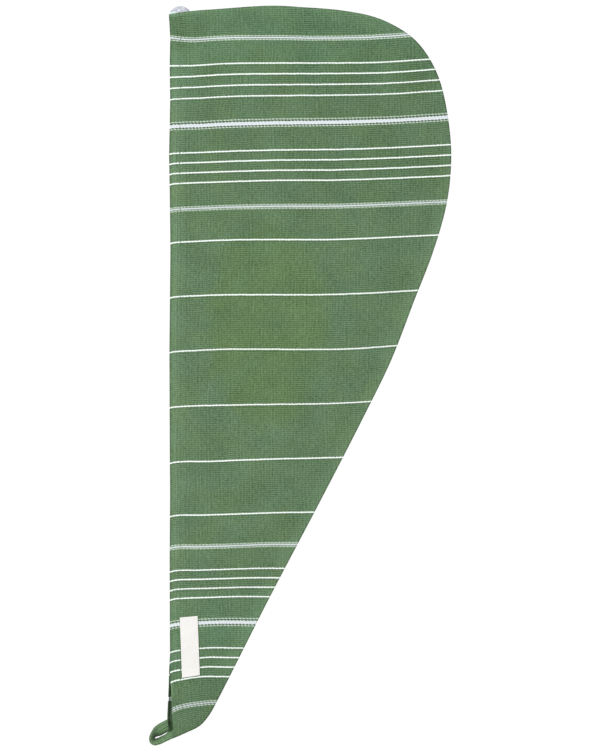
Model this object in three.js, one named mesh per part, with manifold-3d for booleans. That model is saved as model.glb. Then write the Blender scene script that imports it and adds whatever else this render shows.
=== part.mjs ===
import * as THREE from "three";
import { mergeVertices } from "three/addons/utils/BufferGeometryUtils.js";
import Module from "manifold-3d";

// A hair towel lying flat: two layers of striped cotton sewn together along a curved edge and open along
// a straight mouth. A button sits under the mouth's top corner, a strip loop comes out of its tail corner,
// and a small cloth label is sewn beside the hem.
// Millimetres, +Z up. Plan sizes are measured from the mouth line (x) and from the tail corner (y), and
// the whole group is centred over its footprint at the end.

// Cloth
const clothThickness = 1.0;
const foldedThickness = 1.4;
const layerGap = 0.3;
const hemWidth = 9.5;
const seamAllowance = 8.0;
const turnedEdgeStep = 0.7;

// Pocket between the layers
const pocketHeight = 8.8;
const swellReach = 78;
const mouthSag = 0.16;
const mouthSagReach = 28;

// Curved edge from the tail corner, round the shoulder, to the mouth's top corner.
const curvedEdge = [
  // x, y
  [-2.2, -2.0],
  [2.2, 0.0],
  [14.9, 5.6],
  [26.8, 11.6],
  [35.2, 21.2],
  [42.2, 33.8],
  [87.2, 122.7],
  [133.9, 211.6],
  [170.5, 282.7],
  [196.5, 336.0],
  [217.2, 389.4],
  [234.3, 433.8],
  [246.2, 476.5],
  [250.0, 513.8],
  [248.4, 543.0],
  [241.2, 580.6],
  [231.6, 603.1],
  [215.6, 623.1],
  [187.1, 639.6],
  [156.0, 646.8],
  [116.0, 650.3],
  [89.3, 651.5],
  [44.9, 648.7],
  [20.0, 646.6],
  [-0.8, 643.6],
];
const tailTurnRow = 4;
const shoulderRow = 17;
const stepsPerSpan = 12;

// The mouth's two edges: at each height, how far right of the mouth line each layer's fold lies.
const mouthEdge = [
  // y, front, back
  [-2.0, 2.9, 1.9],
  [4.5, 2.8, 1.9],
  [6.4, 2.7, 1.0],
  [8.0, 2.65, -0.6],
  [9.4, 2.6, -1.4],
  [12.4, 2.5, -1.8],
  [18.5, 2.25, -2.4],
  [26.0, 1.85, -2.1],
  [34.0, 1.45, -1.75],
  [43.0, 1.1, -1.4],
  [48.9, 0.95, -1.2],
  [53.3, 0.5, -1.1],
  [60.4, 0.2, -0.85],
  [73.8, 0.1, -0.1],
  [158, -0.2, 0.3],
  [220, 0.2, 0.6],
  [260, -0.1, 0.5],
  [318, -0.3, 0.2],
  [345, -0.4, 0.0],
  [434, 0.5, 0.8],
  [480, 0.0, 0.4],
  [518, -0.7, 0.0],
  [567, 0.3, 0.9],
  [598, -0.2, 0.5],
  [623, 0.3, 1.0],
  [643.6, -0.9, -0.3],
];

// Grid of the panels: columns run from the mouth to the curved side, rows from the tail to the top.
const columnCount = 16;
const rowCount = 40;
const hemBands = [0, hemWidth, hemWidth + turnedEdgeStep];
const seamBands = [0, seamAllowance, seamAllowance + turnedEdgeStep];
const bandCount = 2;

// Button, face down, with four holes
const buttonRadius = 10.5;
const buttonCentre = [9.35, 640.5];
const buttonProfile = [
  // radius, height
  [0, 1.0],
  [6.4, 1.0],
  [7.4, 0.25],
  [8.9, 0],
  [10.0, 0.35],
  [buttonRadius, 1.3],
  [10.2, 2.2],
  [8.8, 2.75],
  [0, 3.0],
];
const buttonTop = 3.0;
const buttonSegments = 40;
const holeRadius = 1.0;
const holeSpread = 1.7;

// Thread that holds the button
const threadRadius = 0.65;
const threadBarHeight = 0.6;
const threadBarBottom = 0.1;
const shankRadius = 3.0;
const shankHeight = 0.7;
const buttonLift = buttonTop + layerGap + shankHeight + layerGap;
const liftFlatRadius = 12;
const liftReach = 58;

// Loop: a folded strip at the tail corner, one end under the back layer and the other between the layers
const loopThickness = 2.0;
const loopRoute = [
  // x, y, z, tilt in degrees (outer edge up), width
  [10.0, 18.2, 1.1, 0, 9.6],
  [4.0, 15.0, 1.1, 0, 9.6],
  [-2.0, 11.6, 1.2, 0, 10.2],
  [-7.0, 9.0, 1.5, 3, 10.2],
  [-10.4, 6.8, 2.55, 16, 10.1],
  [-13.1, 4.8, 4.5, 46, 9.8],
  [-15.1, 2.6, 5.0, 64, 9.8],
  [-15.8, 0.4, 5.05, 67, 9.8],
  [-15.2, -1.8, 4.9, 63, 9.7],
  [-13.4, -3.0, 4.9, 61, 9.6],
  [-11.4, -2.7, 4.9, 61, 9.6],
  [-9.2, -1.8, 4.9, 61, 9.6],
  [-6.4, -0.4, 5.0, 61, 9.6],
  [-3.6, 0.9, 5.1, 60, 9.4],
  [-1.5, 2.1, 5.3, 54, 8.8],
  [-0.2, 3.0, 5.7, 33, 7.4],
  [1.0, 3.8, 5.4, 5, 6.6],
  [4.6, 5.8, 5.35, 0, 6.8],
  [11.2, 9.2, 5.35, 0, 7.2],
];
const loopStations = 72;
const loopLift = loopThickness + 2 * layerGap;
const loopRoom = loopThickness + 1.5 * layerGap;
const loopRoomWide = [13, 40];
const loopRoomHigh = [27, 66];
// Beside the loop's end the back layer rises to the front layer along their seam
const besideLoop = [13.5, 20];
const closedNearSeam = [4, 16];

// Label, given by its four corners
const labelCorners = {
  lowerLeft: [10.85, 54.2],
  lowerRight: [26.65, 56.5],
  upperLeft: [8.85, 107.9],
  upperRight: [24.7, 109.3],
};
const labelThickness = 0.6;
const labelGap = 0.6;
const labelColumns = 3;
const labelRows = 10;

const clothColour = 0x64805e;
const threadColour = 0x4f6b49;
const pearlColour = 0xe6e4ea;
const labelColour = 0xf1ece6;

const cloth = new THREE.MeshStandardMaterial({ color: clothColour, roughness: 0.92, metalness: 0 });
const loopCloth = new THREE.MeshStandardMaterial({ color: clothColour, roughness: 0.9, metalness: 0 });
const thread = new THREE.MeshStandardMaterial({ color: threadColour, roughness: 0.8, metalness: 0 });
const pearl = new THREE.MeshStandardMaterial({ color: pearlColour, roughness: 0.28, metalness: 0 });
const labelCloth = new THREE.MeshStandardMaterial({ color: labelColour, roughness: 0.85, metalness: 0 });

const { lerp, smoothstep, degToRad } = THREE.MathUtils;

const wasm = await Module();
wasm.setup();

// A smooth path through rows of x and y, read by the length along it.
function pathThrough(rows) {
  const knots = rows.map(([x, y]) => new THREE.Vector3(x, y, 0));
  const curve = new THREE.CatmullRomCurve3(knots, false, "centripetal");
  const points = curve.getPoints((rows.length - 1) * stepsPerSpan);
  const lengths = [0];
  for (let k = 1; k < points.length; k += 1) {
    lengths.push(lengths[k - 1] + points[k].distanceTo(points[k - 1]));
  }
  return { points, lengths };
}

const edge = pathThrough(curvedEdge);
const tailTurn = edge.lengths[tailTurnRow * stepsPerSpan];
const shoulder = edge.lengths[shoulderRow * stepsPerSpan];

// The point at a length along the curved edge, moved in from the edge by an inset.
function edgePoint(length, inset) {
  const { points, lengths } = edge;
  let k = 1;
  while (k < lengths.length - 1 && lengths[k] < length) {
    k += 1;
  }
  const share = (length - lengths[k - 1]) / (lengths[k] - lengths[k - 1]);
  const along = points[k].clone().sub(points[k - 1]).normalize();
  const spot = points[k - 1].clone().lerp(points[k], share);
  return [spot.x - along.y * inset, spot.y + along.x * inset];
}

// The length where the curved edge, moved in by an inset, passes an x near its start or near its end.
function edgeLengthAt(x, inset, fromTop) {
  const lengths = fromTop ? [...edge.lengths].reverse() : edge.lengths;
  const moved = lengths.map((length) => edgePoint(length, inset)[0]);
  for (let k = 1; k < lengths.length; k += 1) {
    if (moved[k] >= x) {
      const share = THREE.MathUtils.clamp((x - moved[k - 1]) / (moved[k] - moved[k - 1]), 0, 1);
      return lerp(lengths[k - 1], lengths[k], share);
    }
  }
  throw new Error("the curved edge doesn't pass that x");
}

// The mouth's edge of one layer at a height: column 1 of the table is the front, column 2 the back.
function mouthX(y, layer) {
  let k = 1;
  while (k < mouthEdge.length - 1 && mouthEdge[k][0] < y) {
    k += 1;
  }
  const share = (y - mouthEdge[k - 1][0]) / (mouthEdge[k][0] - mouthEdge[k - 1][0]);
  return lerp(mouthEdge[k - 1][layer], mouthEdge[k][layer], THREE.MathUtils.clamp(share, 0, 1));
}

// A corner of the mouth: hem bands from one side, seam bands from the other.
function mouthCornerPoint(hemInset, seamInset, layer, atTop) {
  const cornerHeight = atTop ? curvedEdge[curvedEdge.length - 1][1] : 0;
  const inward = atTop ? -1 : 1;
  const x = mouthX(cornerHeight + inward * seamInset, layer) + hemInset;
  const [, y] = edgePoint(edgeLengthAt(x, seamInset, atTop), seamInset);
  return [x, y];
}

// Plan place of a grid point that lies in one of the bands along the panel's border.
function bandPoint(i, j, layer) {
  const fromSide = columnCount - i;
  const fromTop = rowCount - j;
  const rowShare = (j - bandCount) / (rowCount - 2 * bandCount);
  const columnShare = (i - bandCount) / (columnCount - 2 * bandCount);
  const lastSeam = seamBands[bandCount];
  const lastHem = hemBands[bandCount];
  if (i <= bandCount) {
    if (j <= bandCount) {
      return mouthCornerPoint(hemBands[i], seamBands[j], layer, false);
    }
    if (fromTop <= bandCount) {
      return mouthCornerPoint(hemBands[i], seamBands[fromTop], layer, true);
    }
    const [, low] = mouthCornerPoint(hemBands[i], lastSeam, layer, false);
    const [, high] = mouthCornerPoint(hemBands[i], lastSeam, layer, true);
    const y = lerp(low, high, rowShare);
    return [mouthX(y, layer) + hemBands[i], y];
  }
  if (fromSide <= bandCount) {
    const inset = seamBands[fromSide];
    if (j <= bandCount) {
      return edgePoint(tailTurn + seamBands[j] - inset, Math.min(inset, seamBands[j]));
    }
    if (fromTop <= bandCount) {
      return edgePoint(shoulder + inset - seamBands[fromTop], Math.min(inset, seamBands[fromTop]));
    }
    return edgePoint(lerp(tailTurn + lastSeam, shoulder - lastSeam, rowShare), inset);
  }
  const atTop = fromTop <= bandCount;
  const inset = atTop ? seamBands[fromTop] : seamBands[j];
  const [startX] = mouthCornerPoint(lastHem, inset, layer, atTop);
  const start = edgeLengthAt(startX, inset, atTop);
  const finish = atTop ? shoulder + lastSeam : tailTurn - lastSeam;
  return edgePoint(lerp(start, finish, columnShare), inset);
}

// Plan place of any grid point: the field inside the bands is blended from the four inner borders.
function planPoint(i, j, layer) {
  const farColumn = columnCount - bandCount;
  const farRow = rowCount - bandCount;
  if (i <= bandCount || i >= farColumn || j <= bandCount || j >= farRow) {
    return bandPoint(i, j, layer);
  }
  const u = (i - bandCount) / (farColumn - bandCount);
  const v = (j - bandCount) / (farRow - bandCount);
  const left = bandPoint(bandCount, j, layer);
  const right = bandPoint(farColumn, j, layer);
  const bottom = bandPoint(i, bandCount, layer);
  const top = bandPoint(i, farRow, layer);
  const lowLeft = bandPoint(bandCount, bandCount, layer);
  const lowRight = bandPoint(farColumn, bandCount, layer);
  const highLeft = bandPoint(bandCount, farRow, layer);
  const highRight = bandPoint(farColumn, farRow, layer);
  return [0, 1].map((axis) => {
    const across = lerp(left[axis], right[axis], u);
    const along = lerp(bottom[axis], top[axis], v);
    const low = lerp(lowLeft[axis], lowRight[axis], u);
    const high = lerp(highLeft[axis], highRight[axis], u);
    return across + along - lerp(low, high, v);
  });
}

// Plan distance to one stretch of the curved edge.
function distanceToEdge(x, y, firstRow, lastRow) {
  let nearest = Infinity;
  for (let k = firstRow * stepsPerSpan; k < lastRow * stepsPerSpan; k += 1) {
    const a = edge.points[k];
    const b = edge.points[k + 1];
    const lengthSquared = (b.x - a.x) ** 2 + (b.y - a.y) ** 2;
    const projected = ((x - a.x) * (b.x - a.x) + (y - a.y) * (b.y - a.y)) / lengthSquared;
    const share = THREE.MathUtils.clamp(projected, 0, 1);
    nearest = Math.min(nearest, Math.hypot(x - lerp(a.x, b.x, share), y - lerp(a.y, b.y, share)));
  }
  return Math.max(nearest, 0.01);
}

// Distance to the whole curved edge, rounded where its stretches are equally near.
function distanceToSeam(x, y) {
  const stretches = [
    distanceToEdge(x, y, 0, tailTurnRow),
    distanceToEdge(x, y, tailTurnRow, shoulderRow),
    distanceToEdge(x, y, shoulderRow, curvedEdge.length - 1),
  ];
  const blend = 4;
  return stretches.reduce((sum, distance) => sum + distance ** -blend, 0) ** (-1 / blend);
}

// 1 over the loop's ends, falling to 0 away from the tail corner.
function loopPresence(x, y) {
  return (1 - smoothstep(x, ...loopRoomWide)) * (1 - smoothstep(y, ...loopRoomHigh));
}

// How far the towel's underside is lifted by the button under one corner and by the loop under the other.
function undersideHeight(x, y) {
  const distance = Math.hypot(x - buttonCentre[0], y - buttonCentre[1]);
  return buttonLift * (1 - smoothstep(distance, liftFlatRadius, liftReach)) + loopLift * loopPresence(x, y);
}

// How far the front layer rises over its seamed edge: the pocket's swell and the room for the loop's ends.
function frontRise(x, y) {
  const swell = Math.sin((Math.PI / 2) * Math.min(1, distanceToSeam(x, y) / swellReach));
  const sag = 1 - mouthSag * Math.exp(-Math.max(x, 0) / mouthSagReach);
  return pocketHeight * swell * sag + loopRoom * loopPresence(x, y);
}

// How far the back layer rises beside the loop's end, to meet the front layer at the seam.
function backRise(x, y) {
  const nearSeam = 1 - smoothstep(distanceToSeam(x, y), ...closedNearSeam);
  return loopRoom * loopPresence(x, y) * smoothstep(x, ...besideLoop) * nearSeam;
}

function backBottom(x, y) {
  return undersideHeight(x, y) + backRise(x, y);
}

function frontTop(x, y) {
  return undersideHeight(x, y) + 2 * foldedThickness + layerGap + frontRise(x, y);
}

// Cloth is doubled and pressed in the hem and in the turned seam allowance.
function thicknessAt(i, j) {
  const isFolded = i <= 1 || i >= columnCount - 1 || j <= 1 || j >= rowCount - 1;
  return isFolded ? foldedThickness : clothThickness;
}

// A closed sheet from two grids of heights over the same plan places.
function sheetGeometry(columns, rows, placeOf, topOf, bottomOf) {
  const positions = [];
  for (const heightOf of [topOf, bottomOf]) {
    for (let j = 0; j <= rows; j += 1) {
      for (let i = 0; i <= columns; i += 1) {
        const [x, y] = placeOf(i, j);
        positions.push(x, y, heightOf(i, j, x, y));
      }
    }
  }
  const perSheet = (columns + 1) * (rows + 1);
  const at = (i, j, sheet) => sheet * perSheet + j * (columns + 1) + i;
  const triangles = [];
  for (let j = 0; j < rows; j += 1) {
    for (let i = 0; i < columns; i += 1) {
      for (const sheet of [0, 1]) {
        const corners = [at(i, j, sheet), at(i + 1, j, sheet), at(i + 1, j + 1, sheet), at(i, j + 1, sheet)];
        const ring = j < rows / 2 ? [corners[1], corners[2], corners[3], corners[0]] : corners;
        const [a, b, c, d] = sheet === 0 ? ring : [ring[0], ring[3], ring[2], ring[1]];
        triangles.push(a, b, c, a, c, d);
      }
    }
  }
  const border = [];
  for (let i = 0; i < columns; i += 1) {
    border.push([i, 0]);
  }
  for (let j = 0; j < rows; j += 1) {
    border.push([columns, j]);
  }
  for (let i = columns; i > 0; i -= 1) {
    border.push([i, rows]);
  }
  for (let j = rows; j > 0; j -= 1) {
    border.push([0, j]);
  }
  border.forEach(([i, j], k) => {
    const [nextI, nextJ] = border[(k + 1) % border.length];
    const low = at(i, j, 1);
    const lowNext = at(nextI, nextJ, 1);
    const high = at(i, j, 0);
    const highNext = at(nextI, nextJ, 0);
    triangles.push(low, lowNext, highNext, low, highNext, high);
  });
  const geometry = new THREE.BufferGeometry();
  geometry.setAttribute("position", new THREE.Float32BufferAttribute(positions, 3));
  geometry.setIndex(triangles);
  geometry.computeVertexNormals();
  return geometry;
}

function makeFrontPanel() {
  const placeOf = (i, j) => planPoint(i, j, 1);
  const topOf = (i, j, x, y) => frontTop(x, y);
  const bottomOf = (i, j, x, y) => frontTop(x, y) - thicknessAt(i, j);
  return new THREE.Mesh(sheetGeometry(columnCount, rowCount, placeOf, topOf, bottomOf), cloth);
}

function makeBackPanel() {
  const placeOf = (i, j) => planPoint(i, j, 2);
  const topOf = (i, j, x, y) => backBottom(x, y) + thicknessAt(i, j);
  const bottomOf = (i, j, x, y) => backBottom(x, y);
  return new THREE.Mesh(sheetGeometry(columnCount, rowCount, placeOf, topOf, bottomOf), cloth);
}

// The strip's flat section is carried along the route, rolled by the tilt.
function makeLoop() {
  const centres = new THREE.CatmullRomCurve3(
    loopRoute.map(([x, y, z]) => new THREE.Vector3(x, y, z)),
    false,
    "centripetal",
  );
  const up = new THREE.Vector3(0, 0, 1);
  const section = [
    [-0.5, -0.5],
    [0.5, -0.5],
    [0.5, 0.5],
    [-0.5, 0.5],
  ];
  const positions = [];
  const triangles = [];
  for (let k = 0; k <= loopStations; k += 1) {
    const share = k / loopStations;
    const centre = centres.getPoint(share);
    const along = centres.getTangent(share).setZ(0).normalize();
    const row = Math.min(Math.floor(share * (loopRoute.length - 1)), loopRoute.length - 2);
    const between = share * (loopRoute.length - 1) - row;
    const tilt = degToRad(lerp(loopRoute[row][3], loopRoute[row + 1][3], between));
    const width = lerp(loopRoute[row][4], loopRoute[row + 1][4], between);
    const outward = new THREE.Vector3().crossVectors(along, up);
    const across = outward.multiplyScalar(Math.cos(tilt)).addScaledVector(up, Math.sin(tilt));
    const through = new THREE.Vector3().crossVectors(across, along);
    for (const [wide, thick] of section) {
      const corner = centre.clone();
      corner.addScaledVector(across, wide * width);
      corner.addScaledVector(through, thick * loopThickness);
      positions.push(corner.x, corner.y, corner.z);
    }
  }
  const at = (k, corner) => k * section.length + (corner % section.length);
  for (let k = 0; k < loopStations; k += 1) {
    for (let corner = 0; corner < section.length; corner += 1) {
      triangles.push(at(k, corner), at(k + 1, corner + 1), at(k, corner + 1));
      triangles.push(at(k, corner), at(k + 1, corner), at(k + 1, corner + 1));
    }
  }
  triangles.push(at(0, 0), at(0, 1), at(0, 2), at(0, 0), at(0, 2), at(0, 3));
  const last = loopStations;
  triangles.push(at(last, 0), at(last, 2), at(last, 1), at(last, 0), at(last, 3), at(last, 2));
  const geometry = new THREE.BufferGeometry();
  geometry.setAttribute("position", new THREE.Float32BufferAttribute(positions, 3));
  geometry.setIndex(triangles);
  geometry.computeVertexNormals();
  return new THREE.Mesh(geometry, loopCloth);
}

function toSolid(geometry) {
  const bare = geometry.clone();
  bare.deleteAttribute("normal");
  bare.deleteAttribute("uv");
  const merged = mergeVertices(bare, 1e-4);
  return new wasm.Manifold(
    new wasm.Mesh({
      numProp: 3,
      vertProperties: new Float32Array(merged.attributes.position.array),
      triVerts: new Uint32Array(merged.index.array),
    }),
  );
}

function fromSolid(solid) {
  const mesh = solid.getMesh();
  const geometry = new THREE.BufferGeometry();
  geometry.setAttribute("position", new THREE.BufferAttribute(new Float32Array(mesh.vertProperties), 3));
  geometry.setIndex(new THREE.BufferAttribute(new Uint32Array(mesh.triVerts), 1));
  geometry.computeVertexNormals();
  return geometry;
}

// An upright round post from its foot height to its head height.
function makePost(radius, foot, head, x, y) {
  const post = new THREE.CylinderGeometry(radius, radius, head - foot, 16);
  post.rotateX(Math.PI / 2);
  post.translate(x, y, (foot + head) / 2);
  return toSolid(post);
}

const holePlaces = [
  [holeSpread, holeSpread],
  [-holeSpread, holeSpread],
  [-holeSpread, -holeSpread],
  [holeSpread, -holeSpread],
];

function makeButton() {
  const profile = buttonProfile.map(([radius, height]) => new THREE.Vector2(radius, height));
  const disc = new THREE.LatheGeometry(profile, buttonSegments);
  disc.rotateX(Math.PI / 2);
  let solid = toSolid(disc);
  for (const [x, y] of holePlaces) {
    solid = solid.subtract(makePost(holeRadius, 0, buttonTop + 1, x, y));
  }
  const button = new THREE.Mesh(fromSolid(solid), pearl);
  button.position.set(...buttonCentre, 0);
  return button;
}

// Two bars across the button's face, a leg through each hole and a wound shank behind the button.
function makeButtonThread() {
  const shankFoot = buttonTop + layerGap;
  let solid = makePost(shankRadius, shankFoot, shankFoot + shankHeight, 0, 0);
  for (const [x, y] of holePlaces) {
    solid = solid.add(makePost(threadRadius, threadBarBottom, shankFoot + shankHeight / 2, x, y));
  }
  for (const y of [holeSpread, -holeSpread]) {
    const bar = new THREE.BoxGeometry(2 * holeSpread, 2 * threadRadius, threadBarHeight);
    bar.translate(0, y, threadBarBottom + threadBarHeight / 2);
    solid = solid.add(toSolid(bar));
  }
  const threads = new THREE.Mesh(fromSolid(solid), thread);
  threads.position.set(...buttonCentre, 0);
  return threads;
}

function makeLabel() {
  const { lowerLeft, lowerRight, upperLeft, upperRight } = labelCorners;
  const placeOf = (i, j) => {
    const u = i / labelColumns;
    const v = j / labelRows;
    return [0, 1].map((axis) => {
      const low = lerp(lowerLeft[axis], lowerRight[axis], u);
      const high = lerp(upperLeft[axis], upperRight[axis], u);
      return lerp(low, high, v);
    });
  };
  const bottomOf = (i, j, x, y) => frontTop(x, y) + labelGap;
  const topOf = (i, j, x, y) => bottomOf(i, j, x, y) + labelThickness;
  return new THREE.Mesh(sheetGeometry(labelColumns, labelRows, placeOf, topOf, bottomOf), labelCloth);
}

const pieces = {
  front_panel: makeFrontPanel(),
  back_panel: makeBackPanel(),
  loop: makeLoop(),
  button: makeButton(),
  button_thread: makeButtonThread(),
  label: makeLabel(),
};

const group = new THREE.Group();
for (const [name, mesh] of Object.entries(pieces)) {
  mesh.name = name;
  group.add(mesh);
}

// The origin is under the middle of the footprint.
const box = new THREE.Box3().setFromObject(group);
const middle = box.getCenter(new THREE.Vector3());
group.position.set(-middle.x, -middle.y, -box.min.z);

export default group;
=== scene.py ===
"""A flat-woven striped cotton hair towel, laid flat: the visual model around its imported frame."""

import math
from functools import reduce

import bmesh
import bpy
import numpy as np
from bpy.props import FloatProperty, FloatVectorProperty, PointerProperty
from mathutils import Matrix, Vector, noise
from mathutils.kdtree import KDTree


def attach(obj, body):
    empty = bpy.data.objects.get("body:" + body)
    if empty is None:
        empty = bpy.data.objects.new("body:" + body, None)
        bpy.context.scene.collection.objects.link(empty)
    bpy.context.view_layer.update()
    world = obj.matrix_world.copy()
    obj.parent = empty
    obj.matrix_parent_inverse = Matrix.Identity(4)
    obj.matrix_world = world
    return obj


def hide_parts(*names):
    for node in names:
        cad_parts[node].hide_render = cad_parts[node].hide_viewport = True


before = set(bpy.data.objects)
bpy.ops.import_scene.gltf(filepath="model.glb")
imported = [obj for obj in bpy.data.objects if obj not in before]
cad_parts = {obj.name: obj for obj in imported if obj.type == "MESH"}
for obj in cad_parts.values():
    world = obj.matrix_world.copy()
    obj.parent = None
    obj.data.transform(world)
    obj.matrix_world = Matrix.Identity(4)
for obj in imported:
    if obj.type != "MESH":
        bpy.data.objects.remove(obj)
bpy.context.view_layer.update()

bl_info = {
    "name": "Hair Towel",
    "version": (1, 0, 0),
    "blender": (4, 5, 0),
    "location": "View3D > Sidebar > Hair Towel",
    "description": "Builds a striped cotton hair towel with its hem, loop, button and label",
    "category": "Object",
}

# Plan sizes are in millimetres, x from the mouth line and y from the tail corner. A piece's points
# are turned into metres of the frame when its mesh is made.
MM = 0.001
# Where the plan's zero lies in the frame
PLAN_CORNER = (-115.694, -322.627)
# Middle of the picture, in the plan
PICTURE_CENTRE = (115.57, 323.15)

CLOTH_THICKNESS = 1.0
FOLDED_THICKNESS = 1.4
LAYER_GAP = 0.3
HEM_WIDTH = 9.5
HEM_STITCH_INSET = 9.3
SEAM_ALLOWANCE = 8.0

POCKET_HEIGHT = 8.8
SWELL_REACH = 78
MOUTH_SAG = 0.16
MOUTH_SAG_REACH = 28

# Small unevenness of the lying cloth, away from the seam: its height, its reach and its noise layer
HANDLED_FROM_SEAM = (4, 40)
FRONT_HANDLING = [(0.45, 42, 11.3), (0.14, 13, 4.7)]
BACK_HANDLING = (0.2, 36, 21.9)
# Groove that the hem's stitches press into the cloth
GROOVE_DEPTH = 0.12
GROOVE_WIDTH = 0.45
# The back layer's fold curls up beside the tail: along the mouth, and in from it
CURL_HEIGHT = 5.0
CURL_STARTS = (9.5, 17)
CURL_ENDS = (58, 80)
CURL_ACROSS = (0.4, 2.2)
# Painted shade on its upper face at the corner, deep in the gap under the front layer, reaches up to here
TAIL_GAP_SHADE_UP_TO = (12, 19)

# Curved edge from the tail corner, round the shoulder, to the mouth's top corner.
CURVED_EDGE = [
    # x, y
    (-2.2, -2.0),
    (2.2, 0.0),
    (14.9, 5.6),
    (26.8, 11.6),
    (35.2, 21.2),
    (42.2, 33.8),
    (87.2, 122.7),
    (133.9, 211.6),
    (170.5, 282.7),
    (196.5, 336.0),
    (217.2, 389.4),
    (234.3, 433.8),
    (246.2, 476.5),
    (250.0, 513.8),
    (248.4, 543.0),
    (241.2, 580.6),
    (231.6, 603.1),
    (215.6, 623.1),
    (187.1, 639.6),
    (156.0, 646.8),
    (116.0, 650.3),
    (89.3, 651.5),
    (44.9, 648.7),
    (20.0, 646.6),
    (-0.8, 643.6),
]
TAIL_TURN_ROW = 4
SHOULDER_ROW = 17
STEPS_PER_SPAN = 12
# Distance to the curved edge: points to measure from, and how its stretches blend where both are near
SEAM_STEP = 0.8
NEAREST_SEAM = 0.05
SEAM_BLEND = 4.0
# Inset of a place that is far from an edge
FAR = 1e3

# How far right of the mouth line each layer's fold lies.
MOUTH_EDGE = [
    # y, front, back
    (-2.0, 2.9, 1.9),
    (4.5, 2.8, 1.9),
    (6.4, 2.7, 1.0),
    (8.0, 2.65, -0.6),
    (9.4, 2.6, -1.4),
    (12.4, 2.5, -1.8),
    (18.5, 2.25, -2.4),
    (26.0, 1.85, -2.1),
    (34.0, 1.45, -1.7),
    (43.0, 1.0, -1.3),
    (48.9, 0.75, -1.1),
    (53.3, 0.3, -1.0),
    (60.4, 0.1, -0.8),
    (73.8, 0.1, -0.1),
    (158, -0.2, 0.3),
    (220, 0.2, 0.6),
    (260, -0.1, 0.5),
    (318, -0.3, 0.2),
    (345, -0.4, 0.0),
    (434, 0.5, 0.8),
    (480, 0.0, 0.4),
    (518, -0.7, 0.0),
    (567, 0.3, 0.9),
    (598, -0.2, 0.5),
    (623, 0.3, 1.0),
    (643.6, -0.9, -0.3),
]
FRONT, BACK = 1, 2

# Woven stripes: evenly spaced lines of one kind, counted up from the lowest.
STRIPES = [
    # kind, height of the lowest, step, count
    ("faint", 31.6, 0, 1),
    ("thin", 54.8, 8.56, 4),
    ("thick", 103.4, 0, 1),
    ("thin", 126.3, 8.36, 4),
    ("faint", 172.6, 0, 1),
    ("thin", 201.2, 48.45, 6),
    ("faint", 473.1, 0, 1),
    ("thin", 496.1, 8.99, 4),
    ("thick", 547.1, 0, 1),
    ("thin", 571.0, 9.58, 4),
    ("faint", 622.5, 0, 1),
]

# The front layer's weft has drifted: how far above its woven height a stripe lies, by height and by its
# share of the way from the mouth to the curved edge. A width below the least counts as the least.
LEAST_DRIFT_WIDTH = 12
DRIFT_SHARES = (0, 0.08, 0.2, 0.4, 0.6, 0.8, 1.0)
WEFT_DRIFT = [
    # y, then the drift at each share
    (0, -9.4, -8.1, -5.5, -2.8, -1.0, 0.1, 0.9),
    (32, -5.3, -4.4, -3.3, -1.6, -0.6, 0.3, 0.6),
    (54, -3.9, -3.0, -2.0, -0.2, 0.6, 0.4, 0.2),
    (95, -2.3, -1.7, -0.7, -0.1, 0.4, 0.0, -0.3),
    (165, -2.3, -1.7, -1.8, -1.3, -0.6, 0.1, -0.1),
    (245, -4.2, -3.4, -3.3, -2.2, -1.1, -0.5, 0.3),
    (345, -2.8, -2.0, -0.9, -0.4, -0.7, -0.2, 2.6),
    (395, -2.6, -1.8, -0.8, -0.6, -0.6, 0.8, 3.4),
    (445, -2.9, -1.9, -0.6, -0.1, -0.1, 1.7, 4.2),
    (485, -3.3, -2.5, -1.4, -0.2, 0.0, 1.7, 4.0),
    (545, -3.2, -2.8, -1.5, -0.2, 0.4, 2.1, 5.2),
    (590, -2.6, -2.1, -0.3, 0.3, 0.6, 1.4, 4.9),
    (625, 0.3, -1.5, -0.2, 0.4, -0.2, 0.4, 3.1),
    (650, 2.2, 0.9, 0.2, -0.1, -0.3, 0.0, 0.8),
]
# The back layer's weft near the mouth
BACK_DRIFT = [
    # y, drift
    (32, 4.4),
    (55, 1.7),
    (64, 3.4),
]

# Height at which the picture shows the plan's own scale
SCALE_PLANE = 1.5

# How far the stripes dip at the mouth's fold, by height, and how soon they are level again
FOLD_DROP = [(0, 1.0), (545, 1.0), (590, 0.2)]
FOLD_DROP_REACH = 2.5

# Grid of a panel: close columns and rows where the cloth is folded, even ones in the field
HEM_INSETS = (0, 0.05, 0.2, 0.42, 0.7, 1.2, 2.2, 3.8, 5.6, 7.2, 8.4, 8.9, 9.3, 9.7, 10.2)
SEAM_INSETS = (0, 0.05, 0.2, 0.42, 0.7, 1.4, 2.8, 4.6, 6.4, 8.0, 8.7)
FIELD_COLUMNS = 92
FIELD_ROWS = 250

# Button under the mouth's top corner
BUTTON_CENTRE = (9.35, 640.5)
BUTTON_PROFILE = [
    # radius, height
    (0, 1.0),
    (5.9, 1.0),
    (6.4, 0.93),
    (6.9, 0.66),
    (7.4, 0.32),
    (8.1, 0.1),
    (8.9, 0.02),
    (9.6, 0.14),
    (10.1, 0.48),
    (10.42, 0.95),
    (10.5, 1.4),
    (10.42, 1.85),
    (10.15, 2.25),
    (9.6, 2.56),
    (8.8, 2.78),
    (7.0, 2.92),
    (4.0, 2.99),
    (0, 3.0),
]
BUTTON_SEGMENTS = 96
HOLE_RADIUS = 1.0
HOLE_SPREAD = 1.7
HOLE_SEGMENTS = 24
DRILL_LENGTH = 12
# It lifts the towel's corner by its own height and room for its thread
THREAD_ROOM = 0.7
BUTTON_LIFT = BUTTON_PROFILE[-1][1] + 2 * LAYER_GAP + THREAD_ROOM
LIFT_FLAT_RADIUS = 9.5
LIFT_REACH = 36
# Middle of the painted shade on the cloth beside it, where the corner it lifts slopes away from the light
BUTTON_SHADE_CENTRE = (14.0, 633.0)

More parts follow.
